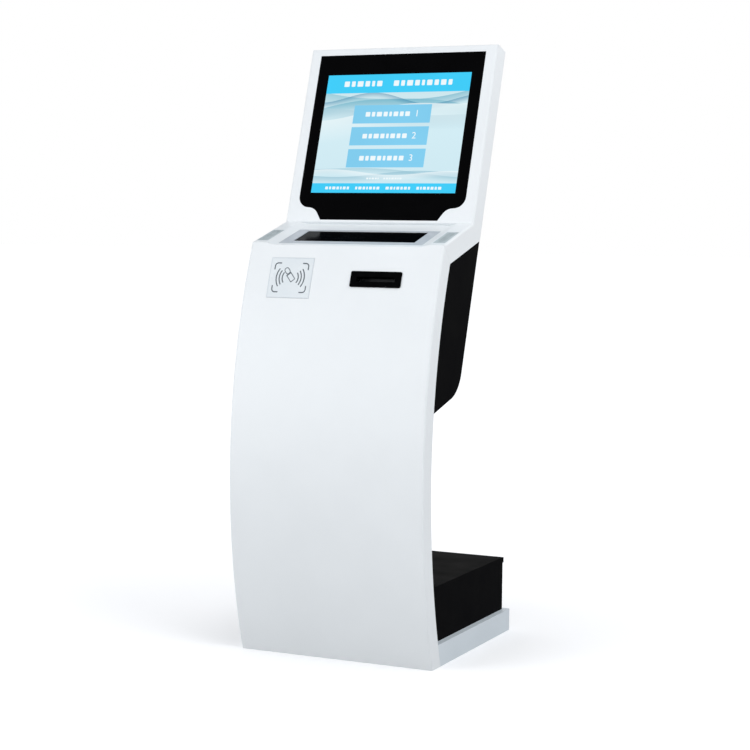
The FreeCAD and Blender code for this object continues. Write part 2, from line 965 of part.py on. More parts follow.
def head_frame():
    body = new_body("head_frame")
    back_corner = seen_from(HEAD, out_of(DECK, *deck_meets_back(float(size.deck_band))))
    side_path = [
        (0.0, 0.0),
        (as_size(0), size.head_length),
        (size.head_depth, size.head_length),
        back_corner,
    ]
    slab(body, "slab", "YZ_Plane", side_path, -half_width, half_width)

    def face_edge(edge):
        box = edge.BoundBox
        on_face = box.YMax < TOUCH
        bottom_edge = box.ZMax < TOUCH
        return on_face and not bottom_edge

    soften(body, "face_edges", face_edge, size.edge_radius)
    face = size.head_face_wall
    flange_back = size.head_depth - size.head_cover_thickness
    flange_front = flange_back - size.shell_wall
    below = -100.0
    top = size.head_length - size.shell_wall
    cavity = box_path((face, below), (flange_front, top))
    hollow(body, "cavity", "YZ_Plane", cavity, -inner_half, inner_half)
    gate_half = inner_half - size.head_flange_width
    gate = box_path((flange_front - 1, below), (flange_back + 1, top - size.head_flange_width))
    hollow(body, "back_opening", "YZ_Plane", gate, -gate_half, gate_half)
    rebate = box_path((flange_back, below), (size.head_depth + 10, top))
    hollow(body, "cover_rebate", "YZ_Plane", rebate, -inner_half, inner_half)
    pocket = glass_path(float(size.glass_gap))
    hollow(body, "glass_pocket", "XZ_Plane", pocket, -size.glass_thickness, size.glass_thickness)
    opening = glass_path(-float(size.glass_ledge))
    hollow(body, "display_opening", "XZ_Plane", opening, -face - 2, face + 2)
    blind = 1.5
    spots = bracket_screw_spots()
    drill(body, "bracket_holes", "XZ_Plane", spots, size.screw_radius, blind, face + 1)
    spots = cover_screw_spots()
    low = flange_front - 1
    drill(body, "cover_holes", "XZ_Plane", spots, size.screw_radius, low, flange_back + 1)
    keep(body, "head_frame", HEAD)


def head_rear_cover():
    body = new_body("head_rear_cover")
    edge = inner_half - size.seam
    deck_gap = 1.5
    low = seen_from(HEAD, out_of(DECK, *deck_meets_back(float(size.deck_band))))[1] + deck_gap
    high = size.head_length - size.shell_wall - size.seam
    back = size.head_depth
    front = back - size.head_cover_thickness
    outline = box_path((-edge, low), (edge, high))
    slab(body, "sheet", "XZ_Plane", outline, front, back)
    hole = size.screw_radius + size.screw_gap
    drill(body, "screw_holes", "XZ_Plane", cover_screw_spots(), hole, front - 1, back + 1)
    vent_half = 120.0
    vent_low = 270.0
    vent_slot = 2.0
    vent_pitch = 9.0
    vents = 8
    slot = box_path((-vent_half, vent_low), (vent_half, vent_low + 2 * vent_slot))
    cut = hollow(body, "vent", "XZ_Plane", slot, front - 1, back + 1)
    repeat(body, "vents", cut, "Z_Axis", vent_pitch * (vents - 1), vents)
    keep(body, "head_rear_cover", HEAD)


def head_cover_screws():
    seat = size.head_depth
    length = 4.5
    pieces = [
        screw(f"head_cover_screw_{i}", "Y", (x, seat, z), 1, length)
        for i, (x, z) in enumerate(cover_screw_spots())
    ]
    return placed(group("head_cover_screws", pieces), HEAD)


def touch_glass():
    body = new_body("touch_glass")
    slab(body, "glass", "XZ_Plane", glass_path(0.0), as_size(0), size.glass_thickness)
    keep(body, "touch_glass", HEAD)


def lcd_spans(grow=0.0):
    half = size.lcd_width / 2 + grow
    half_high = size.lcd_height / 2 + grow
    middle = size.lcd_centre_height
    return (-half, half), (middle - half_high, middle + half_high)


def screen_gasket():
    front = size.glass_thickness
    back = front + size.gasket_thickness
    (left, right), (low, high) = lcd_spans()
    rim = size.gasket_rim
    outer = block("gasket_outer", (left, right), (front, back), (low, high))
    inner = block(
        "gasket_inner", (left + rim, right - rim), (front - 1, back + 1), (low + rim, high - rim)
    )
    keep(without("gasket_ring", outer, [inner]), "screen_gasket", HEAD)


def lcd_depths():
    front = size.glass_thickness + size.gasket_thickness
    return front, front + size.lcd_thickness


def lcd_panel():
    front, back = lcd_depths()
    (left, right), (low, high) = lcd_spans()
    keep_block(
        block("lcd_panel", (left, right), (front, back), (low, high)), "lcd_panel", HEAD
    )


def lcd_bracket(side, word):
    # folded strip, screwed to the head's face wall, that presses the display forward
    body = new_body(f"lcd_bracket_{word}")
    _, back = lcd_depths()
    face = size.head_face_wall
    thick = size.bracket_thickness
    foot_in = size.lcd_width / 2 + size.bracket_web_gap
    foot_out = inner_half - size.bracket_edge_gap
    tip = size.lcd_width / 2 - size.bracket_lap
    outline = [
        (foot_out, face),
        (foot_out, face + thick),
        (foot_in + thick, face + thick),
        (foot_in + thick, back + thick),
        (tip, back + thick),
        (tip, back),
        (foot_in, back),
        (foot_in, face),
    ]
    path = [(side * x, y) for x, y in outline]
    slab(body, "strip", "XY_Plane", path, size.bracket_low, size.bracket_high)
    hole = size.screw_radius + size.screw_gap
    spots = [(x, z) for x, z in bracket_screw_spots() if float(x) * side > 0]
    drill(body, "screw_holes", "XZ_Plane", spots, hole, face - 1, face + thick + 1)
    return body


def lcd_brackets():
    pieces = [lcd_bracket(side, word) for side, word in SIDES]
    keep(group("lcd_bracket_group", pieces), "lcd_brackets", HEAD)


def bracket_screws():
    seat = size.head_face_wall + size.bracket_thickness
    length = 5.5
    pieces = [
        screw(f"bracket_screw_{i}", "Y", (x, seat, z), 1, length)
        for i, (x, z) in enumerate(bracket_screw_spots())
    ]
    return placed(group("bracket_screws", pieces), HEAD)


def circuit_board(label, frame, x, z, back, spacer):
    # a board on four posts behind a flat face, with a connector and a chip on it
    posts = []
    inset = 5.0
    thickness = 1.6
    post_radius = 2.5
    for i, post_x in enumerate((x[0] + inset, x[1] - inset)):
        for j, post_z in enumerate((z[0] + inset, z[1] - inset)):
            name = f"{label}_post_{i}{j}"
            posts.append(rod(name, "Y", (post_x, back, post_z), post_radius, spacer))
    front = back + spacer
    rear = front + thickness
    board = block(f"{label}_card", x, (front, rear), z)
    wide = x[1] - x[0]
    high = z[1] - z[0]
    chip_x = (x[0] + wide * 0.25, x[0] + wide * 0.5)
    chip_z = (z[0] + high * 0.3, z[0] + high * 0.6)
    chip_depth = 2.0
    chip = block(f"{label}_chip", chip_x, (rear, rear + chip_depth), chip_z)
    plug_x = (x[0] + wide * 0.6, x[0] + wide * 0.9)
    plug_z = (z[1] - 12, z[1] - 3)
    plug_depth = 6.0
    plug = block(f"{label}_connector", plug_x, (rear, rear + plug_depth), plug_z)
    keep(fused(f"{label}_solid", posts + [board, chip, plug]), label, frame)


def display_driver_board():
    _, back = lcd_depths()
    across = (-60.0, 60.0)
    levels = (120.0, 200.0)
    spacer = 3.0
    circuit_board("display_driver_board", HEAD, across, levels, back, spacer)


# Card reader and ticket outlet on the bowed front


def reader_window():
    body = new_body("reader_window")
    proud = -float(size.reader_proud)
    back = float(size.reader_thickness) + proud
    half_turn = math.degrees(float(size.reader_height) / 2 / bow_radius)
    low = reader_angle - half_turn
    high = reader_angle + half_turn
    path = [
        bow_point(low, proud),
        ("arc", bow_point(reader_angle, proud), bow_point(high, proud)),
        bow_point(high, back),
        ("arc", bow_point(reader_angle, back), bow_point(low, back)),
    ]
    half = size.reader_width / 2
    slab(body, "plate", "YZ_Plane", path, -half, half)
    keep(body, "reader_window", shifted(WORLD, x=-size.reader_side))


reader_tray_front = 4.1
reader_tray_sheet = 1.5


def reader_housing():
    front = reader_tray_front
    sheet = reader_tray_sheet
    rim_wide = size.reader_width / 2 + 7
    rim_high = size.reader_height / 2 + 6.5
    flange = block(
        "reader_flange", (-rim_wide, rim_wide), (front, front + sheet), (-rim_high, rim_high)
    )
    wide = 46.0
    high = 40.0
    back = front + size.reader_box_depth
    tray = block("reader_tray", (-wide, wide), (front, back), (-high, high))
    cavity = block(
        "reader_cavity",
        (sheet - wide, wide - sheet),
        (front - 1, back - sheet),
        (sheet - high, high - sheet),
    )
    shell = without("reader_shell", fused("reader_solid", [flange, tray]), [cavity])
    keep(shell, "reader_housing", READER)


def reader_board():
    # antenna card on four posts from the tray's back wall
    floor = reader_tray_front + size.reader_box_depth - reader_tray_sheet
    spacer = 9.0
    thickness = 1.6
    post_radius = 2.0
    half_x = 41.0
    half_z = 35.0
    seat = floor - spacer
    card = block("reader_card", (-half_x, half_x), (seat - thickness, seat), (-half_z, half_z))
    inset = 5.0
    posts = []
    for i, x in enumerate((inset - half_x, half_x - inset)):
        for j, z in enumerate((inset - half_z, half_z - inset)):
            posts.append(rod(f"reader_post_{i}{j}", "Y", (x, seat, z), post_radius, spacer))
    keep(fused("reader_board_solid", posts + [card]), "reader_board", READER)


def ticket_bezel():
    body = new_body("ticket_bezel")
    flange = round_path(size.bezel_width / 2, size.bezel_height / 2, size.bezel_corner)
    slab(body, "flange", "XZ_Plane", flange, -size.bezel_proud, as_size(0))
    wide = size.tunnel_width / 2
    high = size.tunnel_height / 2
    tunnel = box_path((-wide, -high), (wide, high))
    slab(body, "tunnel", "XZ_Plane", tunnel, as_size(0), size.tunnel_depth)
    slot_wide = size.slot_width / 2
    slot_high = size.slot_height / 2
    slot = box_path((-slot_wide, -slot_high), (slot_wide, slot_high))
    hollow(body, "slot", "XZ_Plane", slot, -size.bezel_proud - 1, size.tunnel_depth + 1)
    keep(body, "ticket_bezel", TICKET)


# Equipment cabinet behind the column

cabinet_half = half_width - size.cabinet_inset
cabinet_inner = cabinet_half - size.cabinet_wall


def cabinet_corners():
    # top front, top back and bottom front of the cabinet's side, in the head's frame
    inset = band + float(size.seam)
    depth = float(size.deck_band) + float(size.seam)
    top_front = seen_from(HEAD, out_of(DECK, *deck_meets_bow(depth, inset)))
    top_back = seen_from(HEAD, out_of(DECK, *deck_meets_back(depth)))
    bottom_front = seen_from(HEAD, bow_at(float(size.cabinet_bottom_height), inset))
    return top_front, top_back, bottom_front


def cabinet_bottom_line():
    # direction of the cabinet's bottom in the head's frame
    slope = math.radians(float(size.cabinet_bottom_slope))
    start = seen_from(HEAD, (0.0, 0.0))
    end = seen_from(HEAD, (math.cos(slope), math.sin(slope)))
    return end[0] - start[0], end[1] - start[1]


def cabinet_outline():
    inset = band + float(size.seam)
    top_front, top_back, bottom_front = cabinet_corners()
    along = cabinet_bottom_line()
    back = float(size.head_depth)
    run = (back - bottom_front[0]) / along[0]
    corner = (back, bottom_front[1] + run * along[1])
    start, arc = rounded_corner(top_back, corner, bottom_front, size.cabinet_corner_radius)
    middle_height = (float(size.cabinet_bottom_height) + out_of(HEAD, *top_front)[1]) / 2
    through = seen_from(HEAD, bow_at(middle_height, inset))
    return [top_back, start, arc, bottom_front, ("arc", through, top_front)]


def cabinet_inside():
    # the same outline one wall further in, open at the front and the top
    along = cabinet_bottom_line()
    _, top_back, bottom_front = cabinet_corners()
    sheet = float(size.cabinet_wall)
    back = float(size.head_depth) - sheet
    lifted = (bottom_front[0] - sheet * along[1], bottom_front[1] + sheet * along[0])
    run = (back - lifted[0]) / along[0]
    corner = (back, lifted[1] + run * along[1])
    front = (lifted[0] - FAR * along[0], lifted[1] - FAR * along[1])
    top = (back, top_back[1] + FAR)
    radius = float(size.cabinet_corner_radius) - sheet
    start, arc = rounded_corner(top, corner, front, radius)
    return [top, start, arc, front, (front[0], top[1])]


shelf_screw_bite = 1.5
shelf_screw_depths = (80.0, 150.0)


def shelf_screw_spots():
    # depth and level of the shelf's screws, in the frame of the ticket outlet
    level = -size.shelf_level - size.shelf_flange / 2
    return [(depth, level) for depth in shelf_screw_depths]


def upper_cabinet():
    body = new_body("cabinet_case")
    slab(body, "case", "YZ_Plane", cabinet_outline(), -cabinet_half, cabinet_half)
    hollow(body, "inside", "YZ_Plane", cabinet_inside(), -cabinet_inner, cabinet_inner)
    overlap = size.door_overlap
    half = size.door_width / 2 - overlap
    high = float(size.door_bottom - size.door_top) / 2 - float(overlap)
    middle = -float(size.door_bottom + size.door_top) / 2
    corner = 6.0
    opening = round_path(half, high, corner, (0.0, middle))
    back = size.head_depth
    hollow(body, "door_opening", "XZ_Plane", opening, back - size.cabinet_wall - 2, back + 2)
    doc.recompute()
    radius = size.screw_radius
    length = 2 * shelf_screw_bite
    holes = []
    for i, side in enumerate((-1, 1)):
        for j, (depth, level) in enumerate(shelf_screw_spots()):
            start = side * float(cabinet_inner) - shelf_screw_bite
            holes.append(rod(f"shelf_hole_{i}{j}", "X", (start, depth, level), radius, length))
    bored = without("cabinet_bored", body, [placed(group("shelf_hole_group", holes), LEVEL)])
    body.Placement = HEAD
    keep(bored, "upper_cabinet")


def placed(piece, frame):
    piece.Placement = frame
    return piece


lock_sleeve_wall = 1.8


def service_door():
    body = new_body("service_door")
    front = size.head_depth + size.seam
    back = front + size.door_thickness
    high = float(size.door_bottom - size.door_top) / 2
    middle = -float(size.door_bottom + size.door_top) / 2
    corner = 8.0
    outline = round_path(size.door_width / 2, high, corner, (0.0, middle))
    slab(body, "sheet", "XZ_Plane", outline, front, back)
    lock = [(size.lock_side, -size.lock_level)]
    hole = size.lock_barrel_radius + lock_sleeve_wall + 0.2
    drill(body, "lock_hole", "XZ_Plane", lock, hole, front - 1, back + 1)
    slot_half = 2.0
    slot_pitch = 9.0
    slots = 7
    reach = float(size.fan_size) / 2 - 8
    left = -float(size.fan_side) - reach
    right = -float(size.fan_side) + reach
    low = -float(size.fan_level) - slot_pitch * (slots - 1) / 2
    slot = box_path((left, low - slot_half), (right, low + slot_half))
    cut = hollow(body, "vent", "XZ_Plane", slot, front - 1, back + 1)
    repeat(body, "vents", cut, "Z_Axis", slot_pitch * (slots - 1), slots)
    keep(body, "service_door", HEAD)


hinge_x = -size.door_width / 2 - 4
hinge_y = size.head_depth + size.hinge_knuckle_radius
knuckle_end = 12.0
knuckle_gap = 0.3


def hinge_levels():
    return (("top", -size.hinge_top), ("bottom", -size.hinge_bottom))


def knuckle(name, low, high):
    axis_start = (hinge_x, hinge_y, low)
    return rod(name, "Z", axis_start, size.hinge_knuckle_radius, high - low)


def hinge_frame_leaves():
    leaves = []
    for word, middle in hinge_levels():
        low = middle - size.hinge_length / 2
        high = middle + size.hinge_length / 2
        thick = size.hinge_leaf_thickness
        base = size.head_depth
        x = (hinge_x - size.hinge_reach, hinge_x)
        plate = block(f"frame_leaf_plate_{word}", x, (base, base + thick), (low, high))
        notch = block(
            f"frame_leaf_notch_{word}",
            (hinge_x - size.hinge_knuckle_radius - 1, hinge_x + 1),
            (base - 1, base + thick + 1),
            (low + knuckle_end, high - knuckle_end),
        )
        lower = knuckle(f"frame_knuckle_low_{word}", low, low + knuckle_end)
        upper = knuckle(f"frame_knuckle_high_{word}", high - knuckle_end, high)
        bore = rod(
            f"frame_bore_{word}", "Z", (hinge_x, hinge_y, low), size.hinge_pin_radius, high - low
        )
        solid = fused(f"frame_leaf_solid_{word}", [plate, lower, upper])
        leaves.append(without(f"frame_leaf_{word}", solid, [notch, bore]))
    keep(group("frame_leaf_group", leaves), "hinge_frame_leaves", HEAD)


def hinge_door_leaves():
    leaves = []
    base = size.head_depth + size.seam + size.door_thickness
    for word, middle in hinge_levels():
        low = middle - size.hinge_length / 2
        high = middle + size.hinge_length / 2
        thick = size.hinge_leaf_thickness
        start = low + knuckle_end + knuckle_gap
        end = high - knuckle_end - knuckle_gap
        x = (hinge_x, hinge_x + size.hinge_reach)
        plate = block(f"door_leaf_plate_{word}", x, (base, base + thick), (start, end))
        wide_x = (hinge_x + 5, hinge_x + size.hinge_reach)
        wide = block(f"door_leaf_wide_{word}", wide_x, (base, base + thick), (low, high))
        barrel = knuckle(f"door_knuckle_{word}", start, end)
        radius = size.hinge_pin_radius + size.running_gap
        bore = rod(f"door_bore_{word}", "Z", (hinge_x, hinge_y, low), radius, high - low)
        solid = fused(f"door_leaf_solid_{word}", [plate, wide, barrel])
        leaves.append(without(f"door_leaf_{word}", solid, [bore]))
    keep(group("door_leaf_group", leaves), "hinge_door_leaves", HEAD)


def hinge_pins():
    pins = []
    for word, middle in hinge_levels():
        low = middle - size.hinge_length / 2
        start = (hinge_x, hinge_y, low)
        pins.append(rod(f"hinge_pin_{word}", "Z", start, size.hinge_pin_radius, size.hinge_length))
    keep(group("hinge_pin_group", pins), "hinge_pins", HEAD)


def lock_housing():
    inner = size.head_depth - size.cabinet_wall - size.seam
    door_back = size.head_depth + size.seam + size.door_thickness
    door_front = door_back - size.door_thickness
    radius = size.lock_barrel_radius
    rim = radius + 4
    rim_depth = 2.0

    def at(depth):
        return size.lock_side, depth, -size.lock_level

    sleeve = rod("lock_sleeve", "Y", at(inner), radius + lock_sleeve_wall, door_back - inner)
    collar = rod("lock_collar", "Y", at(door_back), rim, rim_depth)
    nut = rod("lock_nut", "Y", at(door_front - rim_depth), rim, rim_depth)
    bore_length = door_back + rim_depth - inner + 2
    bore = rod("lock_bore", "Y", at(inner - 1), radius + size.running_gap, bore_length)
    shell = without("lock_shell", fused("lock_solid", [sleeve, collar, nut]), [bore])
    keep(shell, "lock_housing", HEAD)


def lock_barrel():
    inner = size.head_depth - size.cabinet_wall - 0.5
    face = size.head_depth + size.seam + size.door_thickness + 2.5
    side = size.lock_side
    level = -size.lock_level
    radius = size.lock_barrel_radius
    solid = rod("lock_core", "Y", (side, inner, level), radius, face - inner)
    slot_half_width = 0.6
    slot_half_height = 3.5
    slot_depth = 6.0
    slot_x = around(side, slot_half_width)
    key_slot = block("key_slot", slot_x, (face - slot_depth, face + 1), around(level, slot_half_height))
    core = without("lock_barrel_cut", solid, [key_slot])
    cam_thickness = 2.0
    cam_front = inner - cam_thickness
    arm = block("cam_arm", around(side, radius), (cam_front, inner), (level - size.cam_reach, level))
    boss = rod("cam_boss", "Y", (side, cam_front, level), radius, cam_thickness)
    keep(fused("lock_barrel_solid", [core, arm, boss]), "lock_barrel", HEAD)


fan_shaft_radius = 1.5
fan_seat_depth = 3.0
fan_strut_inset = 0.5


def fan_frame():
    back = size.head_depth + size.seam
    front = back - size.fan_thickness
    x = -size.fan_side
    z = -size.fan_level
    half = size.fan_size / 2
    rim = 2.5
    case = block("fan_case", around(x, half), (front, back), around(z, half))
    throat = rod("fan_throat", "Y", (x, front - 1, z), half - rim, size.fan_thickness + 2)
    ring = without("fan_ring", case, [throat])
    strut_half = 3.0
    strut_back = back - fan_strut_inset
    strut_front = strut_back - fan_seat_depth
    strut = (strut_front, strut_back)
    reach = half - 1
    across = block("fan_strut_across", around(x, reach), strut, around(z, strut_half))
    upright = block("fan_strut_upright", around(x, strut_half), strut, around(z, reach))
    seat = rod("fan_motor_seat", "Y", (x, strut_front, z), size.fan_hub_radius, fan_seat_depth)
    bore_start = (x, strut_front - 1, z)
    bore_radius = fan_shaft_radius + size.running_gap
    bore = rod("fan_shaft_bore", "Y", bore_start, bore_radius, fan_seat_depth)
    solid = fused("fan_solid", [ring, across, upright, seat])
    keep(without("fan_body", solid, [bore]), "fan_frame", HEAD)


def fan_rotor():
    # hub with seven pitched blades and a shaft in the motor seat
    case_back = size.head_depth + size.seam
    rear_gap = 0.5
    front_gap = 5.0
    back = case_back - fan_strut_inset - fan_seat_depth - rear_gap
    front = case_back - size.fan_thickness + front_gap
    x = -size.fan_side
    z = -size.fan_level
    hub = rod("fan_hub", "Y", (x, front, z), size.fan_hub_radius, back - front)
    shaft_length = fan_seat_depth - 1
    shaft = rod("fan_shaft", "Y", (x, back, z), fan_shaft_radius, shaft_length)
    blades = []
    count = 7
    chord = 15.0
    thickness = 1.2
    pitch = 35.0
    inner = float(size.fan_hub_radius) - 1
    outer = float(size.fan_size) / 2 - 4
    middle = (float(front) + float(back)) / 2
    for index in range(count):
        blade = doc.addObject("Part::Box", f"fan_blade_{index}")
        blade.Length = outer - inner
        blade.Width = thickness
        blade.Height = chord
        around = Place(
            Vec(float(x), middle, float(z)), Turn(Y_AXIS, 360.0 * index / count)
        )
        tilt = Place(Vec(inner, 0, 0), Turn(X_AXIS, 90 - pitch))
        centre = Place(Vec(0, -thickness / 2, -chord / 2), Turn())
        blade.Placement = around * tilt * centre
        blades.append(blade)
    keep(fused("fan_rotor_solid", [hub, shaft] + blades), "fan_rotor", HEAD)


def equipment_shelf():
    body = new_body("equipment_shelf")
    top = -size.shelf_level
    thick = size.shelf_thickness
    low = top - size.shelf_flange
    edge = cabinet_inner
    path = [
        (-edge, low),
        (-edge, top),
        (edge, top),
        (edge, low),
        (edge - thick, low),
        (edge - thick, top - thick),
        (thick - edge, top - thick),
        (thick - edge, low),
    ]
    slab(body, "tray", "XZ_Plane", path, size.shelf_front, size.shelf_rear)
    hole = size.screw_radius + size.screw_gap
    drill(body, "screw_holes", "YZ_Plane", shelf_screw_spots(), hole, -FAR, FAR)
    keep(body, "equipment_shelf", LEVEL)


def shelf_screws():
    seat = cabinet_inner - size.shelf_thickness
    pieces = []
    for side in (-1, 1):
        for j, (depth, level) in enumerate(shelf_screw_spots()):
            name = f"shelf_screw_{'left' if side < 0 else 'right'}_{j}"
            place = (seat * side, depth, level)
            pieces.append(screw(name, "X", place, -side, size.shelf_thickness + shelf_screw_bite))
    return placed(group("shelf_screws", pieces), LEVEL)


button_level_drop = 22.0
button_edge_gap = 30.0
button_radius = 4.0


def computer_spans():
    middle = -size.computer_side
    half = size.computer_width / 2
    top = -size.shelf_level - size.shelf_thickness
    return (middle - half, middle + half), (top - size.computer_height, top)


def button_centre():
    (_, right), (_, top) = computer_spans()
    return right - button_edge_gap, top - button_level_drop


def mini_computer():
    (left, right), (low, top) = computer_spans()
    rear = size.computer_rear
    case = block("computer_case", (left, right), (size.computer_front, rear), (low, top))
    x, z = button_centre()
    well_depth = 3.0
    well_radius = button_radius + 0.3
    well = rod("button_well", "Y", (x, rear - well_depth, z), well_radius, well_depth + 1)
    ports = 4
    port_pitch = 20.0
    port_width = 14.0
    port_depth = 8.0
    port_levels = (low + 10, low + 17)
    sockets = []
    for index in range(ports):
        port_left = left + 15 + index * port_pitch
        across = (port_left, port_left + port_width)
        name = f"computer_port_{index}"
        sockets.append(block(name, across, (rear - port_depth, rear + 1), port_levels))
    keep(without("computer_body", case, [well] + sockets), "mini_computer", LEVEL)


def power_button():
    x, z = button_centre()
    length = 3.0
    start = (x, size.computer_rear - length / 2, z)
    keep_block(rod("power_button", "Y", start, button_radius, length), "power_button", LEVEL)


# Ticket printer, in the frame of the ticket outlet

platen_level = -size.paper_gap - size.platen_radius
gear_play = 0.05
gear_centres = size.gear_module * (size.gear_teeth + size.pinion_teeth) / 2 + gear_play
motor_turn = 50.0
motor_shaft_radius = 1.5
motor_depth = size.platen_depth + gear_centres * math.cos(math.radians(motor_turn))
motor_level = platen_level - gear_centres * math.sin(math.radians(motor_turn))
gear_start = size.printer_half_width + 2


def printer_frame():
    body = new_body("printer_frame")
    half = size.printer_half_width
    sheet = size.printer_sheet
    floor = -size.shelf_level
    top = size.printer_top
    path = [
        (-half, floor),
        (-half, top),
        (sheet - half, top),
        (sheet - half, floor + sheet),
        (half - sheet, floor + sheet),
        (half - sheet, top),
        (half, top),
        (half, floor),
    ]
    slab(body, "channel", "XZ_Plane", path, size.printer_front, size.printer_rear)
    slope_front = 92.0
    slope_low = -30.0
    slope_back = float(size.printer_rear) + 1
    slope_path = [
        (slope_front, float(top) + 1),
        (slope_back, slope_low),
        (slope_back, float(top) + 1),
    ]
    hollow(body, "rear_slope", "YZ_Plane", slope_path, -FAR, FAR)
    edge = half + 1
    platen = [(size.platen_depth, platen_level)]
    drill(body, "bush_holes", "YZ_Plane", platen, size.bush_radius, -edge, edge)
    spindle = [(size.roll_depth, -size.roll_level)]
    drill(body, "spindle_holes", "YZ_Plane", spindle, size.spindle_radius, -edge, edge)
    pivot = [(size.head_pivot_depth, size.head_pivot_level)]
    drill(body, "pivot_holes", "YZ_Plane", pivot, size.head_pivot_radius, -edge, edge)
    motor = [(motor_depth, motor_level)]
    motor_hole_radius = 3.0
    drill(body, "motor_hole", "YZ_Plane", motor, motor_hole_radius, as_size(0), edge)
    keep(body, "printer_frame", TICKET)


def platen_shaft():
    start = (-size.printer_half_width - 4, size.platen_depth, platen_level)
    length = 2 * size.printer_half_width + 6 + size.gear_width + 1
    keep_block(rod("platen_shaft", "X", start, size.shaft_radius, length), "platen_shaft", TICKET)


def platen_rubber():
    start = (-size.platen_half_length, size.platen_depth, platen_level)
    length = 2 * size.platen_half_length
    piece = tube("platen_sleeve", "X", start, size.shaft_radius, size.platen_radius, length)
    keep(piece, "platen_rubber", TICKET)


def platen_bushes():
    bore = size.shaft_radius + size.running_gap
    inside = 1.9
    outside = 1.0
    length = inside + size.printer_sheet + outside
    inner = size.printer_half_width - size.printer_sheet - inside
    places = (("left", -inner - length), ("right", inner))
    pieces = []
    for word, x in places:
        start = (x, size.platen_depth, platen_level)
        pieces.append(tube(f"bush_{word}", "X", start, bore, size.bush_radius, length))
    keep(group("bush_group", pieces), "platen_bushes", TICKET)


def gear_face(teeth, first_angle):
    # involute spur gear outline in the YZ plane, one tooth centred on the first angle
    pitch_angle = math.radians(20)
    module = float(size.gear_module)
    pitch_radius = module * teeth / 2
    base_radius = pitch_radius * math.cos(pitch_angle)
    tip_radius = pitch_radius + 0.9 * module
    root_radius = pitch_radius - 1.25 * module
    half_tooth = (math.pi * module / 2 - float(size.gear_backlash)) / 2 / pitch_radius
    half_tooth += math.tan(pitch_angle) - pitch_angle
    start_radius = max(base_radius, root_radius)
    steps = 4
    flank = [(root_radius, half_tooth)] if base_radius > root_radius else []
    for step in range(steps + 1):
        radius = start_radius + (tip_radius - start_radius) * step / steps
        angle = math.acos(min(1.0, base_radius / radius))
        flank.append((radius, half_tooth - (math.tan(angle) - angle)))
    points = []
    for tooth in range(int(teeth)):
        centre = math.radians(first_angle) + 2 * math.pi * tooth / teeth
        rising = [(radius, centre - half) for radius, half in flank]
        falling = [(radius, centre + half) for radius, half in reversed(flank)]
        for radius, angle in rising + falling:
            points.append(Vec(0, radius * math.cos(angle), radius * math.sin(angle)))
    return Part.Face(Part.makePolygon(points + [points[0]]))


def gear_solid(teeth, first_angle, depth, level, start):
    face = gear_face(teeth, first_angle)
    face.translate(Vec(float(start), float(depth), float(level)))
    return face.extrude(Vec(float(size.gear_width), 0, 0))


def round_solid(start, radius, length):
    place = Vec(*[float(value) for value in start])
    return Part.makeCylinder(float(radius), float(length), place, X_AXIS)


def platen_gear():
    teeth = int(float(size.gear_teeth))
    solid = gear_solid(teeth, -motor_turn, size.platen_depth, platen_level, gear_start)
    start = (gear_start - 1, size.platen_depth, platen_level)
    solid = solid.cut(round_solid(start, size.shaft_radius, size.gear_width + 2))
    piece = doc.addObject("Part::Feature", "platen_gear")
    piece.Shape = solid
    keep(piece, "platen_gear", TICKET)


def motor_pinion():
    # pinion and the motor's shaft, which turns in the motor's nose
    teeth = int(float(size.pinion_teeth))
    half_pitch = 180.0 / teeth
    solid = gear_solid(teeth, 180 - motor_turn + half_pitch, motor_depth, motor_level, gear_start)
    shaft_start = size.printer_half_width - size.printer_sheet - 6
    length = gear_start + size.gear_width - shaft_start
    shaft = round_solid((shaft_start, motor_depth, motor_level), motor_shaft_radius, length)
    solid = solid.fuse(shaft)
    piece = doc.addObject("Part::Feature", "motor_pinion")
    piece.Shape = solid.removeSplitter()
    keep(piece, "motor_pinion", TICKET)


def feed_motor():
    seat = size.printer_half_width - size.printer_sheet
    start = (seat - size.motor_length, motor_depth, motor_level)
    can = rod("motor_can", "X", start, size.motor_radius, size.motor_length)
    bore_depth = 8.0
    bore_start = (seat - bore_depth, motor_depth, motor_level)
    bore_radius = motor_shaft_radius + size.running_gap
    bore = rod("motor_bore", "X", bore_start, bore_radius, bore_depth + 1)
    keep(without("motor_body", can, [bore]), "feed_motor", TICKET)


def roll_start(reach):
    return (-reach, size.roll_depth, -size.roll_level)


def paper_roll():
    # wound paper on its own card core
    start = roll_start(size.roll_width / 2)
    core = size.roll_core_radius
    paper = tube("wound_paper", "X", start, core, size.roll_radius, size.roll_width)
    sleeve = tube("card_core", "X", start, size.roll_bore_radius, core, size.roll_width)
    keep(group("paper_roll_group", [paper, sleeve]), "paper_roll", TICKET)


def roll_spindle():
    half = size.printer_half_width
    piece = rod("roll_spindle", "X", roll_start(half), size.spindle_radius, 2 * half)
    keep_block(piece, "roll_spindle", TICKET)


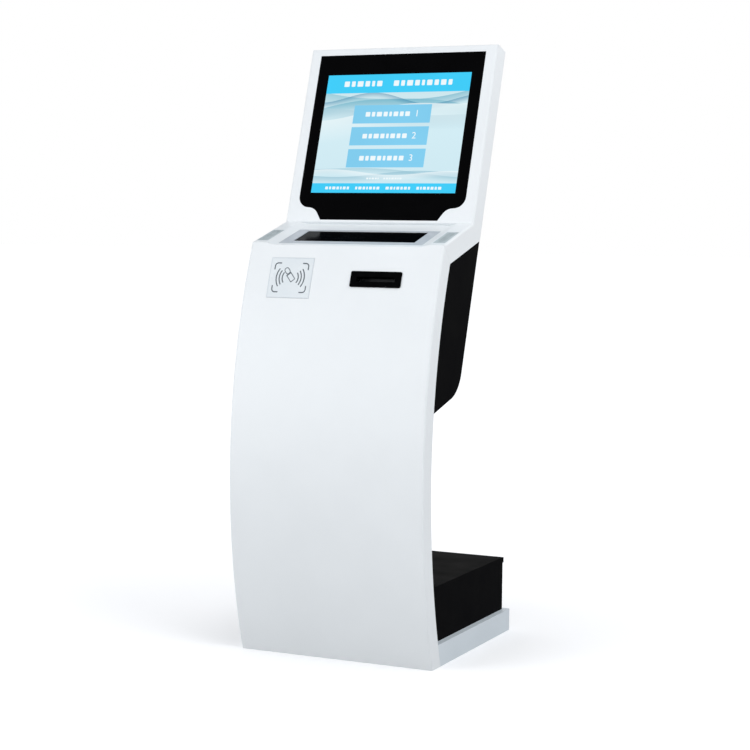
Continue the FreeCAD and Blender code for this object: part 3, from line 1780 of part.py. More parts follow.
def print_head():
    # heated bar over the platen, on two arms that swing up for loading paper
    half = size.platen_half_length + 1
    nip_gap = 0.1
    bar_top = 12.0
    bar_front = size.platen_depth - 8
    bar_back = size.platen_depth + 16
    bar = block("head_bar", (-half, half), (bar_front, bar_back), (nip_gap, bar_top))
    arm_low = 3.0
    ear = 5.0
    pivot_y = size.head_pivot_depth
    pivot_z = size.head_pivot_level
    bridge_y = (bar_back - 1, pivot_y - 3)
    bridge = block("head_bridge", (-half, half), bridge_y, (arm_low, bar_top))
    arm_sheet = 2.0
    arm_y = (size.platen_depth + 2, pivot_y + ear)
    arms = []
    for word, near in (("left", -half - arm_sheet), ("right", half)):
        across = (near, near + arm_sheet)
        arms.append(block(f"head_arm_{word}", across, arm_y, (arm_low, pivot_z + ear)))
    reach = size.printer_half_width + 12
    bore_radius = size.head_pivot_radius + size.running_gap
    bore = rod("head_bore", "X", (-reach, pivot_y, pivot_z), bore_radius, 2 * reach)
    tab_x = (12.0, 34.0)
    tab_y = (bar_back + 2, bar_back + 6)
    tab = block("lever_tab", tab_x, tab_y, (bar_top - 1, bar_top + 16))
    solid = fused("print_head_solid", [bar, bridge, tab] + arms)
    keep(without("print_head_body", solid, [bore]), "print_head", TICKET)


def head_pivot_pin():
    half = size.printer_half_width
    start = (-half, size.head_pivot_depth, size.head_pivot_level)
    piece = rod("head_pivot_pin", "X", start, size.head_pivot_radius, 2 * half)
    keep_block(piece, "head_pivot_pin", TICKET)


cutter_levels = (-22.0, 16.0)
blade_half = 42.0
blade_levels = (-18.0, -3.0)


def cutter_housing():
    half = size.printer_half_width - size.printer_sheet
    low, high = cutter_levels
    front = size.cutter_front
    rear = size.cutter_rear
    case = block("cutter_case", (-half, half), (front, rear), (low, high))
    slit_levels = (-2.0, 2.5)
    slit = block("cutter_slit", around(0.0, size.platen_half_length), (front - 1, rear + 1), slit_levels)
    play = size.blade_thickness / 2 + 0.4
    track_y = around((front + rear) / 2, play)
    track_levels = (low + 1, 8.0)
    track = block("cutter_track", around(0.0, blade_half + 0.5), track_y, track_levels)
    drive_left = -22.0
    drive_right = 14.0
    drive_back = 42.0
    drive_low = -44.0
    drive = block("cutter_drive_case", (drive_left, drive_right), (front, drive_back), (drive_low, low))
    motor_start = (drive_right, (front + drive_back) / 2, (low + drive_low) / 2)
    motor_radius = 9.0
    motor_length = 22.0
    motor = rod("cutter_motor", "X", motor_start, motor_radius, motor_length)
    solid = fused("cutter_solid", [case, drive, motor])
    keep(without("cutter_body", solid, [slit, track]), "cutter_housing", TICKET)


def cutter_blade():
    middle = (size.cutter_front + size.cutter_rear) / 2
    depth = around(middle, size.blade_thickness / 2)
    piece = block("cutter_blade", around(0.0, blade_half), depth, blade_levels)
    keep_block(piece, "cutter_blade", TICKET)


def printer_board():
    # control card on four posts outside the frame's left wall
    spacer = 4.0
    thickness = 1.6
    post_radius = 2.5
    seat = -size.printer_half_width - spacer
    face = seat - thickness
    card_y = (60.0, 140.0)
    card_z = (-90.0, -34.0)
    card = block("printer_card", (face, seat), card_y, card_z)
    inset = 6.0
    posts = []
    for i, y in enumerate((card_y[0] + inset, card_y[1] - inset)):
        for j, z in enumerate((card_z[0] + inset, card_z[1] - inset)):
            posts.append(rod(f"printer_post_{i}{j}", "X", (seat, y, z), post_radius, spacer))
    chip = block("printer_chip", (face - 2, face), (85.0, 105.0), (-75.0, -55.0))
    plug = block("printer_plug", (face - 7, face), (115.0, 135.0), (-60.0, -50.0))
    keep(fused("printer_board_solid", posts + [card, chip, plug]), "printer_board", TICKET)


# Foot and power box


def base_y(value):
    return front_y + value


def base_pan():
    body = new_body("base_pan")
    inset = band + float(size.seam)
    high = float(size.base_height)
    rear = base_y(size.base_depth)
    path = [
        bow_at(0, inset),
        bow_arc(0, high, inset),
        (rear, high),
        (rear, 0.0),
    ]
    slab(body, "slab", "YZ_Plane", path, -half_width, half_width)

    def rear_edge(edge):
        box = edge.BoundBox
        side = abs(abs(box.XMax) - float(half_width)) < TOUCH and box.XLength < TOUCH
        return side and box.YLength < TOUCH and box.YMin > float(rear) - TOUCH

    corner_radius = 4.0
    soften(body, "rear_corners", rear_edge, corner_radius)
    inside = box_path((-FAR, -1.0), (rear - size.shell_wall, size.base_height - size.shell_wall))
    hollow(body, "inside", "YZ_Plane", inside, -inner_half, inner_half)
    opening_half = 190.0
    opening_front = base_y(70.0)
    opening_back = base_y(400.0)
    opening = box_path((-opening_half, opening_front), (opening_half, opening_back))
    low = size.base_height - size.shell_wall - 1
    hollow(body, "top_opening", "XY_Plane", opening, low, size.base_height + 1)
    keep(body, "base_pan")


def anchor_spots():
    middle = base_y(float(size.anchor_centre))
    wide = float(size.anchor_spacing_wide) / 2
    deep = float(size.anchor_spacing_deep) / 2
    return [(sx * wide, middle + sy * deep) for sx in (-1, 1) for sy in (-1, 1)]


def floor_plate():
    body = new_body("floor_plate")
    gap = size.seam
    edge = inner_half - gap
    front = bow_at(0, wall)[0] + float(gap)
    rear = base_y(size.base_depth) - size.shell_wall - gap
    outline = [(-edge, front), (edge, front), (edge, rear), (-edge, rear)]
    thick = size.floor_plate_thickness
    slab(body, "plate", "XY_Plane", outline, as_size(0), thick)
    spots = anchor_spots()
    drill(body, "anchor_holes", "XY_Plane", spots, size.anchor_hole_radius, as_size(-1), thick + 1)
    keep(body, "floor_plate")


box_half = size.base_box_width / 2
box_inner = box_half - size.base_sheet
box_rear = base_y(size.base_box_rear) - size.base_sheet
box_top = size.base_box_top - size.base_sheet


def hatch_screw_spots():
    side = size.hatch_width / 2 - size.hatch_overlap / 2
    inset = 8.0
    middle = (size.hatch_bottom + size.hatch_top) / 2
    levels = (size.hatch_bottom + inset, middle, size.hatch_top - inset)
    return [(side * sign, level) for sign in (-1, 1) for level in levels]


def base_box():
    body = new_body("base_box")
    inset = band + float(size.seam)
    low = float(size.base_height)
    high = float(box_top)
    path = [
        bow_at(low, inset),
        bow_arc(low, high, inset),
        (box_rear, high),
        (box_rear, low),
    ]
    slab(body, "walls", "YZ_Plane", path, -box_inner, box_inner)
    sheet = size.base_sheet
    inside = box_path((-FAR, 0.0), (box_rear - sheet, size.base_box_top + 20))
    hollow(body, "inside", "YZ_Plane", inside, sheet - box_inner, box_inner - sheet)
    overlap = size.hatch_overlap
    half = size.hatch_width / 2 - overlap
    opening = box_path((-half, size.hatch_bottom + overlap), (half, size.hatch_top - overlap))
    hollow(body, "hatch_opening", "XZ_Plane", opening, box_rear - sheet - 2, box_rear + 2)
    spots = hatch_screw_spots()
    low = box_rear - sheet - 1
    drill(body, "hatch_holes", "XZ_Plane", spots, size.screw_radius, low, box_rear + 1)
    keep(body, "base_box")


def base_lid():
    body = new_body("base_lid")
    inset = band + float(size.seam)
    high = float(size.base_box_top)
    low = high - float(size.lid_drop)
    rear = base_y(size.base_box_rear)
    path = [bow_at(low, inset), bow_arc(low, high, inset), (rear, high), (rear, low)]
    slab(body, "cap", "YZ_Plane", path, -box_half, box_half)

    def top_edge(edge):
        box = edge.BoundBox
        high_edge = box.ZMin > high - TOUCH
        at_front = box.XLength > 1 and box.YMax < float(rear) - 1
        return high_edge and not at_front

    fold_radius = 1.5
    soften(body, "top_edges", top_edge, fold_radius)
    inside = box_path((-FAR, 0.0), (box_rear, box_top))
    hollow(body, "inside", "YZ_Plane", inside, -box_inner, box_inner)
    keep(body, "base_lid")


inlet_shell = (14.0, 12.0)
switch_shell = (9.5, 14.0)
grommet_neck = 2.0
fitting_gap = 0.2


def fitting_outline(side, shell):
    # the hatch's opening for the shell of a fitting, which lies left of the middle
    wide = shell[0] + fitting_gap
    high = shell[1] + fitting_gap
    level = size.hatch_centre
    return box_path((-side - wide, level - high), (wide - side, level + high))


def base_rear_hatch():
    body = new_body("base_rear_hatch")
    half = size.hatch_width / 2
    front = box_rear
    back = box_rear + size.hatch_thickness
    outline = box_path((-half, size.hatch_bottom), (half, size.hatch_top))
    slab(body, "sheet", "XZ_Plane", outline, front, back)
    inlet = fitting_outline(size.inlet_side, inlet_shell)
    hollow(body, "inlet_opening", "XZ_Plane", inlet, front - 1, back + 1)
    switch = fitting_outline(size.switch_side, switch_shell)
    hollow(body, "switch_opening", "XZ_Plane", switch, front - 1, back + 1)
    grommet = [(size.grommet_side, size.hatch_centre)]
    radius = size.grommet_bore_radius + grommet_neck
    drill(body, "grommet_hole", "XZ_Plane", grommet, radius, front - 1, back + 1)
    hole = size.screw_radius + size.screw_gap
    drill(body, "screw_holes", "XZ_Plane", hatch_screw_spots(), hole, front - 1, back + 1)
    keep(body, "base_rear_hatch")


def hatch_screws():
    seat = box_rear + size.hatch_thickness
    length = size.hatch_thickness + size.base_sheet
    pieces = [
        screw(f"hatch_screw_{i}", "Y", (x, seat, z), 1, length)
        for i, (x, z) in enumerate(hatch_screw_spots())
    ]
    return group("hatch_screws", pieces)


def sheet_screws():
    groups = [head_cover_screws(), bracket_screws(), shelf_screws(), hatch_screws()]
    keep(group("sheet_screw_group", groups), "sheet_screws")


hatch_face = box_rear + size.hatch_thickness
socket_depth = 18.0
socket_floor = hatch_face - socket_depth


def power_inlet():
    x = -size.inlet_side
    z = size.hatch_centre
    flange_depth = 2.5
    floor_wall = 4.0
    flange_y = (hatch_face, hatch_face + flange_depth)
    flange = block("inlet_flange", around(x, 24.0), flange_y, around(z, 15.0))
    shell_y = (socket_floor - floor_wall, hatch_face)
    shell = block("inlet_shell", around(x, inlet_shell[0]), shell_y, around(z, inlet_shell[1]))
    socket_y = (socket_floor, hatch_face + flange_depth + 1)
    socket = block("inlet_socket", around(x, 12.0), socket_y, around(z, 8.2))
    keep(without("inlet_body", fused("inlet_solid", [flange, shell]), [socket]), "power_inlet")


def inlet_pins():
    # three flat pins, the middle one raised
    x = -size.inlet_side
    z = size.hatch_centre
    pitch = 7.0
    lift = 1.5
    length = 12.0
    pins = []
    for i, side in enumerate((-1, 0, 1)):
        middle = z - lift if side else z + lift
        across = around(x + side * pitch, 1.0)
        depth = (socket_floor, socket_floor + length)
        pins.append(block(f"inlet_pin_{i}", across, depth, around(middle, 2.0)))
    keep(group("inlet_pin_group", pins), "inlet_pins")


def switch_body():
    x = -size.switch_side
    z = size.hatch_centre
    flange_depth = 2.0
    flange_y = (hatch_face, hatch_face + flange_depth)
    flange = block("switch_flange", around(x, 11.5), flange_y, around(z, 16.0))
    shell_y = (hatch_face - 18, hatch_face)
    shell = block("switch_shell", around(x, switch_shell[0]), shell_y, around(z, switch_shell[1]))
    well_y = (hatch_face - 12, hatch_face + flange_depth + 1)
    well = block("switch_well", around(x, 8.0), well_y, around(z, 12.4))
    solid = fused("switch_solid", [flange, shell])
    keep(without("switch_case", solid, [well]), "switch_body")


def switch_rocker():
    # rocker key on its own trunnions, resting with its upper end pressed in
    body = new_body("switch_rocker")
    profile = [(-3.0, -7.0), (6.0, -10.6), (4.4, 0.0), (6.0, 10.6), (-3.0, 7.0)]
    key_half = 7.6
    slab(body, "key", "YZ_Plane", profile, -key_half, key_half)
    rest_tilt = 8.0
    trunnion_radius = 2.0
    trunnion_reach = 7.95
    pivot = [(0.0, 0.0)]
    discs(body, "trunnions", "YZ_Plane", pivot, trunnion_radius, -trunnion_reach, trunnion_reach)
    pivot_depth = 3.0
    pivot_y = float(hatch_face) - pivot_depth
    spot = Vec(-float(size.switch_side), pivot_y, float(size.hatch_centre))
    keep(body, "switch_rocker", Place(spot, Turn(X_AXIS, rest_tilt)))


def cable_grommet():
    x = size.grommet_side
    z = size.hatch_centre
    bore = size.grommet_bore_radius
    lip = 2.0
    inner_flange = rod("grommet_inner", "Y", (x, box_rear - lip, z), bore + 5, lip)
    neck_radius = bore + grommet_neck
    neck = rod("grommet_neck", "Y", (x, box_rear, z), neck_radius, size.hatch_thickness)
    outer_flange = rod("grommet_outer", "Y", (x, hatch_face, z), bore + 5.5, lip)
    length = size.hatch_thickness + 2 * lip + 2
    hole = rod("grommet_bore", "Y", (x, box_rear - lip - 1, z), bore, length)
    solid = fused("grommet_solid", [inner_flange, neck, outer_flange])
    keep(without("grommet_body", solid, [hole]), "cable_grommet")


def power_supply():
    x = -size.supply_side
    front = base_y(size.supply_front)
    end = front + size.supply_length
    low = size.floor_plate_thickness
    across = around(x, size.supply_width / 2)
    case = block("supply_case", across, (front, end), (low, low + size.supply_height))
    strip_half = 45.0
    strip_depth = 12.0
    strip_height = 16.0
    strip_y = (end, end + strip_depth)
    strip = block("supply_terminals", around(x, strip_half), strip_y, (low, low + strip_height))
    keep(fused("supply_solid", [case, strip]), "power_supply")


def harness_route():
    # the cable's corners: out of the power supply, up the column, into the computer from below
    entry = Vec(-float(size.computer_side), 80.0, float(computer_spans()[1][0]))
    entry_run = 36.0
    end = LEVEL.multVec(entry)
    before = LEVEL.multVec(entry - Vec(0, 0, entry_run))
    side = -float(size.supply_side)
    front = base_y(float(size.supply_front))
    level = float(size.floor_plate_thickness) + float(size.supply_height) / 2
    points = [
        Vec(side, front, level),
        Vec(side, front - 30, level),
        Vec(side + 1, front - 56, level + 27),
        Vec(side + 3, front - 100, level + 52),
        Vec(side + 5, front - 140, level + 81),
        Vec(-85, base_y(-18), 175),
        Vec(-79.5, base_y(-31), 260),
        Vec(-74, base_y(-37), 345),
        Vec(-68.5, base_y(-36), 430),
        Vec(-63, base_y(-26), 515),
        Vec(-61, base_y(-2), 556),
        before,
        end,
    ]
    return points


arc_share = 0.45


def cable_path(points):
    # straight runs joined by tangent arcs, each arc as large as its two runs allow
    edges = []
    radii = []
    last = points[0]
    for before, corner, after in zip(points, points[1:], points[2:]):
        back = before - corner
        ahead = after - corner
        half_turn = (math.pi - back.getAngle(ahead)) / 2
        reach = arc_share * min(back.Length, ahead.Length)
        radii.append(reach / math.tan(half_turn))
        back.normalize()
        ahead.normalize()
        start = corner + back * reach
        end = corner + ahead * reach
        bulge = (back + ahead).normalize()
        centre_reach = math.hypot(reach, radii[-1])
        through = corner + bulge * (centre_reach - radii[-1])
        edges.append(Part.LineSegment(last, start).toShape())
        edges.append(Part.Arc(start, through, end).toShape())
        last = end
    edges.append(Part.LineSegment(last, points[-1]).toShape())
    print("harness radii", [round(radius, 1) for radius in radii])
    return Part.Wire(edges)


def power_harness():
    points = harness_route()
    path = cable_path(points)
    heading = points[1] - points[0]
    ring = Part.makeCircle(float(size.harness_radius), points[0], heading)
    solid = path.makePipeShell([Part.Wire([ring])], True, False)
    expected = math.pi * float(size.harness_radius) ** 2 * path.Length
    share = round(solid.Volume / expected, 4)
    print("harness volume share", share, "length", round(path.Length, 1))
    piece = doc.addObject("Part::Feature", "power_harness")
    piece.Shape = solid
    keep(piece, "power_harness")


def build():
    front_panel()
    column_rear_cover()
    deck_shell()
    scanner_frame()
    scanner_window()
    scanner_housing()
    for side, word in SIDES:
        speaker_grille(side, word)
    speakers()
    lcd_brackets()
    head_frame()
    head_rear_cover()
    touch_glass()
    screen_gasket()
    lcd_panel()
    display_driver_board()
    reader_window()
    reader_housing()
    reader_board()
    ticket_bezel()
    upper_cabinet()
    service_door()
    hinge_frame_leaves()
    hinge_door_leaves()
    hinge_pins()
    lock_housing()
    lock_barrel()
    fan_frame()
    fan_rotor()
    equipment_shelf()
    mini_computer()
    power_button()
    printer_frame()
    platen_shaft()
    platen_rubber()
    platen_bushes()
    platen_gear()
    motor_pinion()
    feed_motor()
    paper_roll()
    roll_spindle()
    print_head()
    head_pivot_pin()
    cutter_housing()
    cutter_blade()
    printer_board()
    base_pan()
    floor_plate()
    base_box()
    base_lid()
    base_rear_hatch()
    sheet_screws()
    power_inlet()
    inlet_pins()
    switch_body()
    switch_rocker()
    cable_grommet()
    power_supply()
    power_harness()


def check_and_write():
    doc.recompute()
    broken = [o.Label for o in doc.Objects if {"Invalid", "Error"} & set(o.State)]
    if broken:
        raise ValueError(f"failed features: {broken}")
    os.makedirs("parts", exist_ok=True)
    for piece in finished:
        shape = piece.Shape
        if shape.isNull() or not shape.isValid() or not shape.Solids:
            raise ValueError(f"{piece.Label} has no sound shape")
    for piece in finished:
        piece.Shape.exportStep(f"parts/{piece.Label}.step")
    print(len(finished), "parts")


build()
check_and_write()
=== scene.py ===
import math

import bmesh
import bpy
from mathutils import Matrix, Vector


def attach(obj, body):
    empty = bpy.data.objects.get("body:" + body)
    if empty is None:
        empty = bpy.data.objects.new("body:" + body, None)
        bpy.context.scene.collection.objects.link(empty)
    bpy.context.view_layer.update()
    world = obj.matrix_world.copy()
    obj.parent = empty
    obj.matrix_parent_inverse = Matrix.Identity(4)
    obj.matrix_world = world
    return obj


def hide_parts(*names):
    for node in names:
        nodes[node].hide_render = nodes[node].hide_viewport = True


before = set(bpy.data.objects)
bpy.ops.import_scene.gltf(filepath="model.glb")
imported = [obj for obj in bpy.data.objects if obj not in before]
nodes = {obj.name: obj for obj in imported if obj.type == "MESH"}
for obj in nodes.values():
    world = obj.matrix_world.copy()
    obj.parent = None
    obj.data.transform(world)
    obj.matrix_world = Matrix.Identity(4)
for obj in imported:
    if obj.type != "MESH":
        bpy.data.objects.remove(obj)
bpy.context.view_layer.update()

# The kiosk's side view, in metres and degrees: a bowed front, a sloping deck and a leaning head
kiosk = {
    "bowRadius": 1.2732,
    "bowHeight": 0.3785,
    "baseDepth": 0.4347,
    "deckFrontHeight": 0.8596,
    "deckAngle": 15.87,
    "deckLength": 0.1566,
    "headLean": 18.1,
    "readerArc": 0.416,
    "readerSide": -0.1145,
}

bowReach = math.sqrt(kiosk["bowRadius"] ** 2 - kiosk["bowHeight"] ** 2)
frontY = -(kiosk["baseDepth"] - (kiosk["bowRadius"] - bowReach)) / 2
bowY = frontY + bowReach


def onBow(arc, proud=0.0):  # a point of the bowed front, by arc length from the bow's widest level
    radius = kiosk["bowRadius"] + proud
    turn = arc / kiosk["bowRadius"]
    return bowY - radius * math.cos(turn), kiosk["bowHeight"] + radius * math.sin(turn)


def tiltedFrame(y, z, degrees):
    return Matrix.Translation((0, y, z)) @ Matrix.Rotation(math.radians(degrees), 4, "X")


deckArc = kiosk["bowRadius"] * math.asin(
    (kiosk["deckFrontHeight"] - kiosk["bowHeight"]) / kiosk["bowRadius"]
)
deckFrame = tiltedFrame(*onBow(deckArc), kiosk["deckAngle"])
headRoot = deckFrame @ Vector((0, kiosk["deckLength"], 0))
headFrame = tiltedFrame(headRoot.y, headRoot.z, -kiosk["headLean"])
forwards = Matrix.Rotation(math.radians(90), 4, "X")  # turns a card drawn on XY to face the front
backwards = Matrix.Rotation(math.radians(-90), 4, "X")
print("frames worked out")


# Materials


def tone(red, green, blue):  # a colour as a paint chart gives it, 0 to 255
    def linear(part):
        share = part / 255
        return share / 12.92 if share <= 0.04045 else ((share + 0.055) / 1.055) ** 2.4

    return (linear(red), linear(green), linear(blue), 1.0)


def setSockets(node, sockets):
    for socket, value in sockets.items():
        node.inputs[socket].default_value = value


def addNode(tree, kind, sockets=None, **settings):
    node = tree.nodes.new("ShaderNode" + kind)
    for name, value in settings.items():
        setattr(node, name, value)
    setSockets(node, sockets or {})
    return node


def linked(tree, *pairs):
    for output, socket in pairs:
        tree.links.new(output, socket)


def objectPoint(tree, turn=(0, 0, 0), stretch=(1, 1, 1)):
    angles = [math.radians(angle) for angle in turn]
    place = addNode(tree, "Mapping", {"Rotation": angles, "Scale": stretch})
    tree.links.new(addNode(tree, "TexCoord").outputs["Object"], place.inputs["Vector"])
    return place.outputs["Vector"]


def grain(tree, point, size, detail=4.0):  # size is the width of one grain, in metres
    noise = addNode(tree, "TexNoise", {"Scale": 1 / size, "Detail": detail})
    tree.links.new(point, noise.inputs["Vector"])
    return noise.outputs["Fac"]


def ramp(tree, factor, stops):
    node = addNode(tree, "ValToRGB")
    points = node.color_ramp.elements
    while len(points) < len(stops):
        points.new(0.5)
    for point, (place, colour) in zip(points, stops):
        point.position = place
        point.color = colour
    tree.links.new(factor, node.inputs["Fac"])
    return node.outputs["Color"]


def ranged(tree, value, low, high, atLow=0.0, atHigh=1.0, curve="LINEAR"):
    # turns a value that runs from low to high into one that runs from atLow to atHigh
    ends = {"From Min": low, "From Max": high, "To Min": atLow, "To Max": atHigh}
    node = addNode(tree, "MapRange", ends, interpolation_type=curve)
    tree.links.new(value, node.inputs["Value"])
    return node.outputs["Result"]


def reckoned(tree, operation, *values):
    # one Math node; a value is a number or another node's output
    node = addNode(tree, "Math", operation=operation)
    for socket, value in zip(node.inputs, values):
        if isinstance(value, (int, float)):
            socket.default_value = value
        else:
            tree.links.new(value, socket)
    return node.outputs[0]


def blended(tree, share, under, over):  # the colour over covers the colour under by that share
    node = addNode(tree, "Mix", data_type="RGBA")
    first, second = (socket for socket in node.inputs if socket.type == "RGBA")
    linked(tree, (share, node.inputs["Factor"]), (under, first))
    second.default_value = over
    return next(socket for socket in node.outputs if socket.type == "RGBA")


def emboss(tree, shader, height, depth, strength):
    node = addNode(tree, "Bump", {"Distance": depth, "Strength": strength})
    linked(tree, (height, node.inputs["Height"]), (node.outputs["Normal"], shader.inputs["Normal"]))


def newFinish(name, sockets):
    material = bpy.data.materials.new(name)
    material.use_nodes = True
    shader = material.node_tree.nodes["Principled BSDF"]
    setSockets(shader, sockets)
    return material, material.node_tree, shader


# Where, in a grain that runs from 0 to 1, a coat's tone and roughness change over
drift = {"toneEdges": (0.35, 0.65), "roughEdges": (0.3, 0.7), "relief": 0.5, "reliefDetail": 2.0}


def driftStops(dark, light):
    return list(zip(drift["toneEdges"], (dark, light)))


def surface(name, light, dark, patch, rough, grainSize, depth, metal=0.0, gloss=0.5, stretch=(1, 1, 1)):
    # light and dark are the two tones that the surface drifts between, over patches of that size
    material, tree, shader = newFinish(name, {"Metallic": metal, "Specular IOR Level": gloss})
    point = objectPoint(tree, stretch=stretch)
    patches = grain(tree, point, patch)
    colour = ramp(tree, patches, driftStops(tone(*dark), tone(*light)))
    sheen = ranged(tree, patches, *drift["roughEdges"], *rough)
    linked(tree, (colour, shader.inputs["Base Color"]), (sheen, shader.inputs["Roughness"]))
    emboss(tree, shader, grain(tree, point, grainSize, drift["reliefDetail"]), depth, drift["relief"])
    return material


# Green solder mask with lighter copper tracks showing through it
solderMask = {
    "finish": {"Roughness": 0.35, "Specular IOR Level": 0.5},
    "layout": {"offset": 0.35, "squash": 0.7, "squash_frequency": 3},
    "tracks": {
        "Scale": 55,
        "Mortar Size": 0.06,
        "Mortar": tone(58, 142, 86),
        "Color1": tone(18, 92, 52),
        "Color2": tone(24, 104, 60),
    },
    "depth": 0.00008,
    "relief": 0.6,
}


def boardFinish():
    material, tree, shader = newFinish("solderMask", solderMask["finish"])
    tracks = addNode(tree, "TexBrick", solderMask["tracks"], **solderMask["layout"])
    tree.links.new(objectPoint(tree, turn=(90, 0, 0)), tracks.inputs["Vector"])
    tree.links.new(tracks.outputs["Color"], shader.inputs["Base Color"])
    emboss(tree, shader, tracks.outputs["Fac"], solderMask["depth"], solderMask["relief"])
    return material


surfaces = {
    "whiteCoat": {
        "light": (236, 240, 242), "dark": (234, 238, 240),
        "patch": 0.12, "rough": (0.36, 0.42), "grainSize": 0.0011, "depth": 0.00003,
    },
    # painted shade: the white coat made darker for the foot, which sits low in shade
    "shadedFootCoat": {
        "light": (216, 225, 231), "dark": (213, 222, 228),
        "patch": 0.12, "rough": (0.36, 0.42), "grainSize": 0.0011, "depth": 0.00003,
    },
    "blackCoat": {
        "light": (6, 6, 8), "dark": (4, 4, 5),
        "patch": 0.06, "rough": (0.5, 0.6), "grainSize": 0.0009, "depth": 0.00005, "gloss": 0.012,
    },
    "blackGlass": {
        "light": (3, 3, 4), "dark": (2, 2, 3),
        "patch": 0.05, "rough": (0.05, 0.08), "grainSize": 0.02, "depth": 0.00001, "gloss": 0.25,
    },
    "scannerGlass": {
        "light": (5, 6, 9), "dark": (3, 4, 6),
        "patch": 0.05, "rough": (0.1, 0.14), "grainSize": 0.02, "depth": 0.00001, "gloss": 0.012,
    },
    "blackPlastic": {
        "light": (22, 22, 24), "dark": (14, 14, 16),
        "patch": 0.02, "rough": (0.45, 0.6), "grainSize": 0.0006, "depth": 0.00004,
    },
    "satinBlack": {
        "light": (6, 6, 7), "dark": (3, 3, 4),
        "patch": 0.02, "rough": (0.4, 0.5), "grainSize": 0.0005, "depth": 0.00003, "gloss": 0.02,
    },
    "greyTrim": {
        "light": (196, 202, 208), "dark": (186, 193, 200),
        "patch": 0.02, "rough": (0.4, 0.5), "grainSize": 0.0005, "depth": 0.00003,
    },
    "greyGrille": {
        "light": (190, 200, 203), "dark": (176, 187, 190),
        "patch": 0.02, "rough": (0.45, 0.58), "grainSize": 0.0006, "depth": 0.00004,
    },
    "readerPlate": {
        "light": (228, 234, 237), "dark": (224, 231, 235),
        "patch": 0.05, "rough": (0.22, 0.3), "grainSize": 0.0008, "depth": 0.00002,
    },
    "galvanised": {
        "light": (188, 192, 196), "dark": (150, 156, 162),
        "patch": 0.012, "rough": (0.3, 0.5), "grainSize": 0.003, "depth": 0.00004, "metal": 0.9,
    },
    "zinc": {
        "light": (200, 203, 208), "dark": (176, 180, 188),
        "patch": 0.01, "rough": (0.25, 0.4), "grainSize": 0.001, "depth": 0.00002, "metal": 1.0,
    },
    "groundSteel": {
        "light": (205, 206, 208), "dark": (180, 182, 185),
        "patch": 0.004, "rough": (0.18, 0.32), "grainSize": 0.0004, "depth": 0.00001, "metal": 1.0,
    },
    "brass": {
        "light": (212, 176, 108), "dark": (190, 152, 88),
        "patch": 0.006, "rough": (0.22, 0.36), "grainSize": 0.0004, "depth": 0.00001, "metal": 1.0,
    },
    "darkMetal": {
        "light": (60, 61, 64), "dark": (46, 47, 50),
        "patch": 0.01, "rough": (0.5, 0.65), "grainSize": 0.0006, "depth": 0.00004, "metal": 0.3,
    },
    "castMetal": {
        "light": (120, 122, 126), "dark": (98, 100, 104),
        "patch": 0.01, "rough": (0.4, 0.55), "grainSize": 0.0008, "depth": 0.00004, "metal": 0.6,
    },
    "foam": {
        "light": (40, 40, 41), "dark": (26, 26, 27),
        "patch": 0.004, "rough": (0.85, 0.95), "grainSize": 0.0012, "depth": 0.0003,
    },
    "rubber": {
        "light": (38, 38, 39), "dark": (28, 28, 29),
        "patch": 0.008, "rough": (0.6, 0.75), "grainSize": 0.0007, "depth": 0.00006,
    },
    "cableJacket": {
        "light": (30, 30, 32), "dark": (20, 20, 22),
        "patch": 0.03, "rough": (0.5, 0.62), "grainSize": 0.001, "depth": 0.00004,
    },
    "paper": {
        "light": (240, 238, 232), "dark": (232, 229, 221),
        "patch": 0.01, "rough": (0.7, 0.82), "grainSize": 0.0005, "depth": 0.00003, "stretch": (0.2, 1, 1),
    },
    "printerPlastic": {
        "light": (226, 225, 217), "dark": (214, 212, 203),
        "patch": 0.02, "rough": (0.4, 0.52), "grainSize": 0.0006, "depth": 0.00003,
    },
    "readerInk": {
        "light": (90, 99, 107), "dark": (82, 91, 99),
        "patch": 0.01, "rough": (0.35, 0.45), "grainSize": 0.0005, "depth": 0.00001,
    },
    # painted shade: the dark tone of the crosses that stand for shaded screw recesses
    "recessShade": {
        "light": (38, 39, 42), "dark": (24, 25, 28),
        "patch": 0.002, "rough": (0.6, 0.7), "grainSize": 0.0004, "depth": 0.00001, "metal": 0.4,
    },
    "readerTrim": {
        "light": (213, 220, 225), "dark": (206, 214, 220),
        "patch": 0.02, "rough": (0.3, 0.4), "grainSize": 0.0006, "depth": 0.00001,
    },
}
finishes = {name: surface(name, **settings) for name, settings in surfaces.items()}
finishes["board"] = boardFinish()
print("materials made:", len(finishes))


# What each CAD node is finished with

nodeFinish = {
    "whiteCoat": ["front_panel", "column_rear_cover", "deck_shell", "head_frame", "head_rear_cover"],
    # the foot takes the white coat darkened as painted shade
    "shadedFootCoat": ["base_pan"],
    "blackCoat": ["upper_cabinet", "service_door", "base_box", "base_lid", "base_rear_hatch"],
    "blackGlass": ["touch_glass"],
    "scannerGlass": ["scanner_window"],
    "satinBlack": ["ticket_bezel"],
    "greyTrim": ["scanner_frame"],
    "greyGrille": ["speaker_grille_left", "speaker_grille_right"],
    "readerPlate": ["reader_window"],
    "blackPlastic": [
        "scanner_housing", "reader_housing", "speakers", "fan_frame", "fan_rotor",
        "mini_computer", "power_inlet", "switch_body", "switch_rocker", "cable_grommet",
    ],
    "galvanised": ["lcd_brackets", "equipment_shelf", "printer_frame", "floor_plate", "power_supply"],
    "zinc": ["hinge_frame_leaves", "hinge_door_leaves", "sheet_screws", "lock_housing", "roll_spindle"],
    "groundSteel": [
        "hinge_pins", "platen_shaft", "head_pivot_pin", "cutter_blade", "power_button", "lock_barrel",
    ],
    "brass": ["inlet_pins", "motor_pinion", "platen_bushes"],
    "castMetal": ["feed_motor", "print_head"],
    "darkMetal": ["lcd_panel", "cutter_housing"],
    "foam": ["screen_gasket"],
    "rubber": ["platen_rubber"],
    "cableJacket": ["power_harness"],
    "paper": ["paper_roll"],
    "printerPlastic": ["platen_gear"],
    "board": ["display_driver_board", "reader_board", "printer_board"],
}

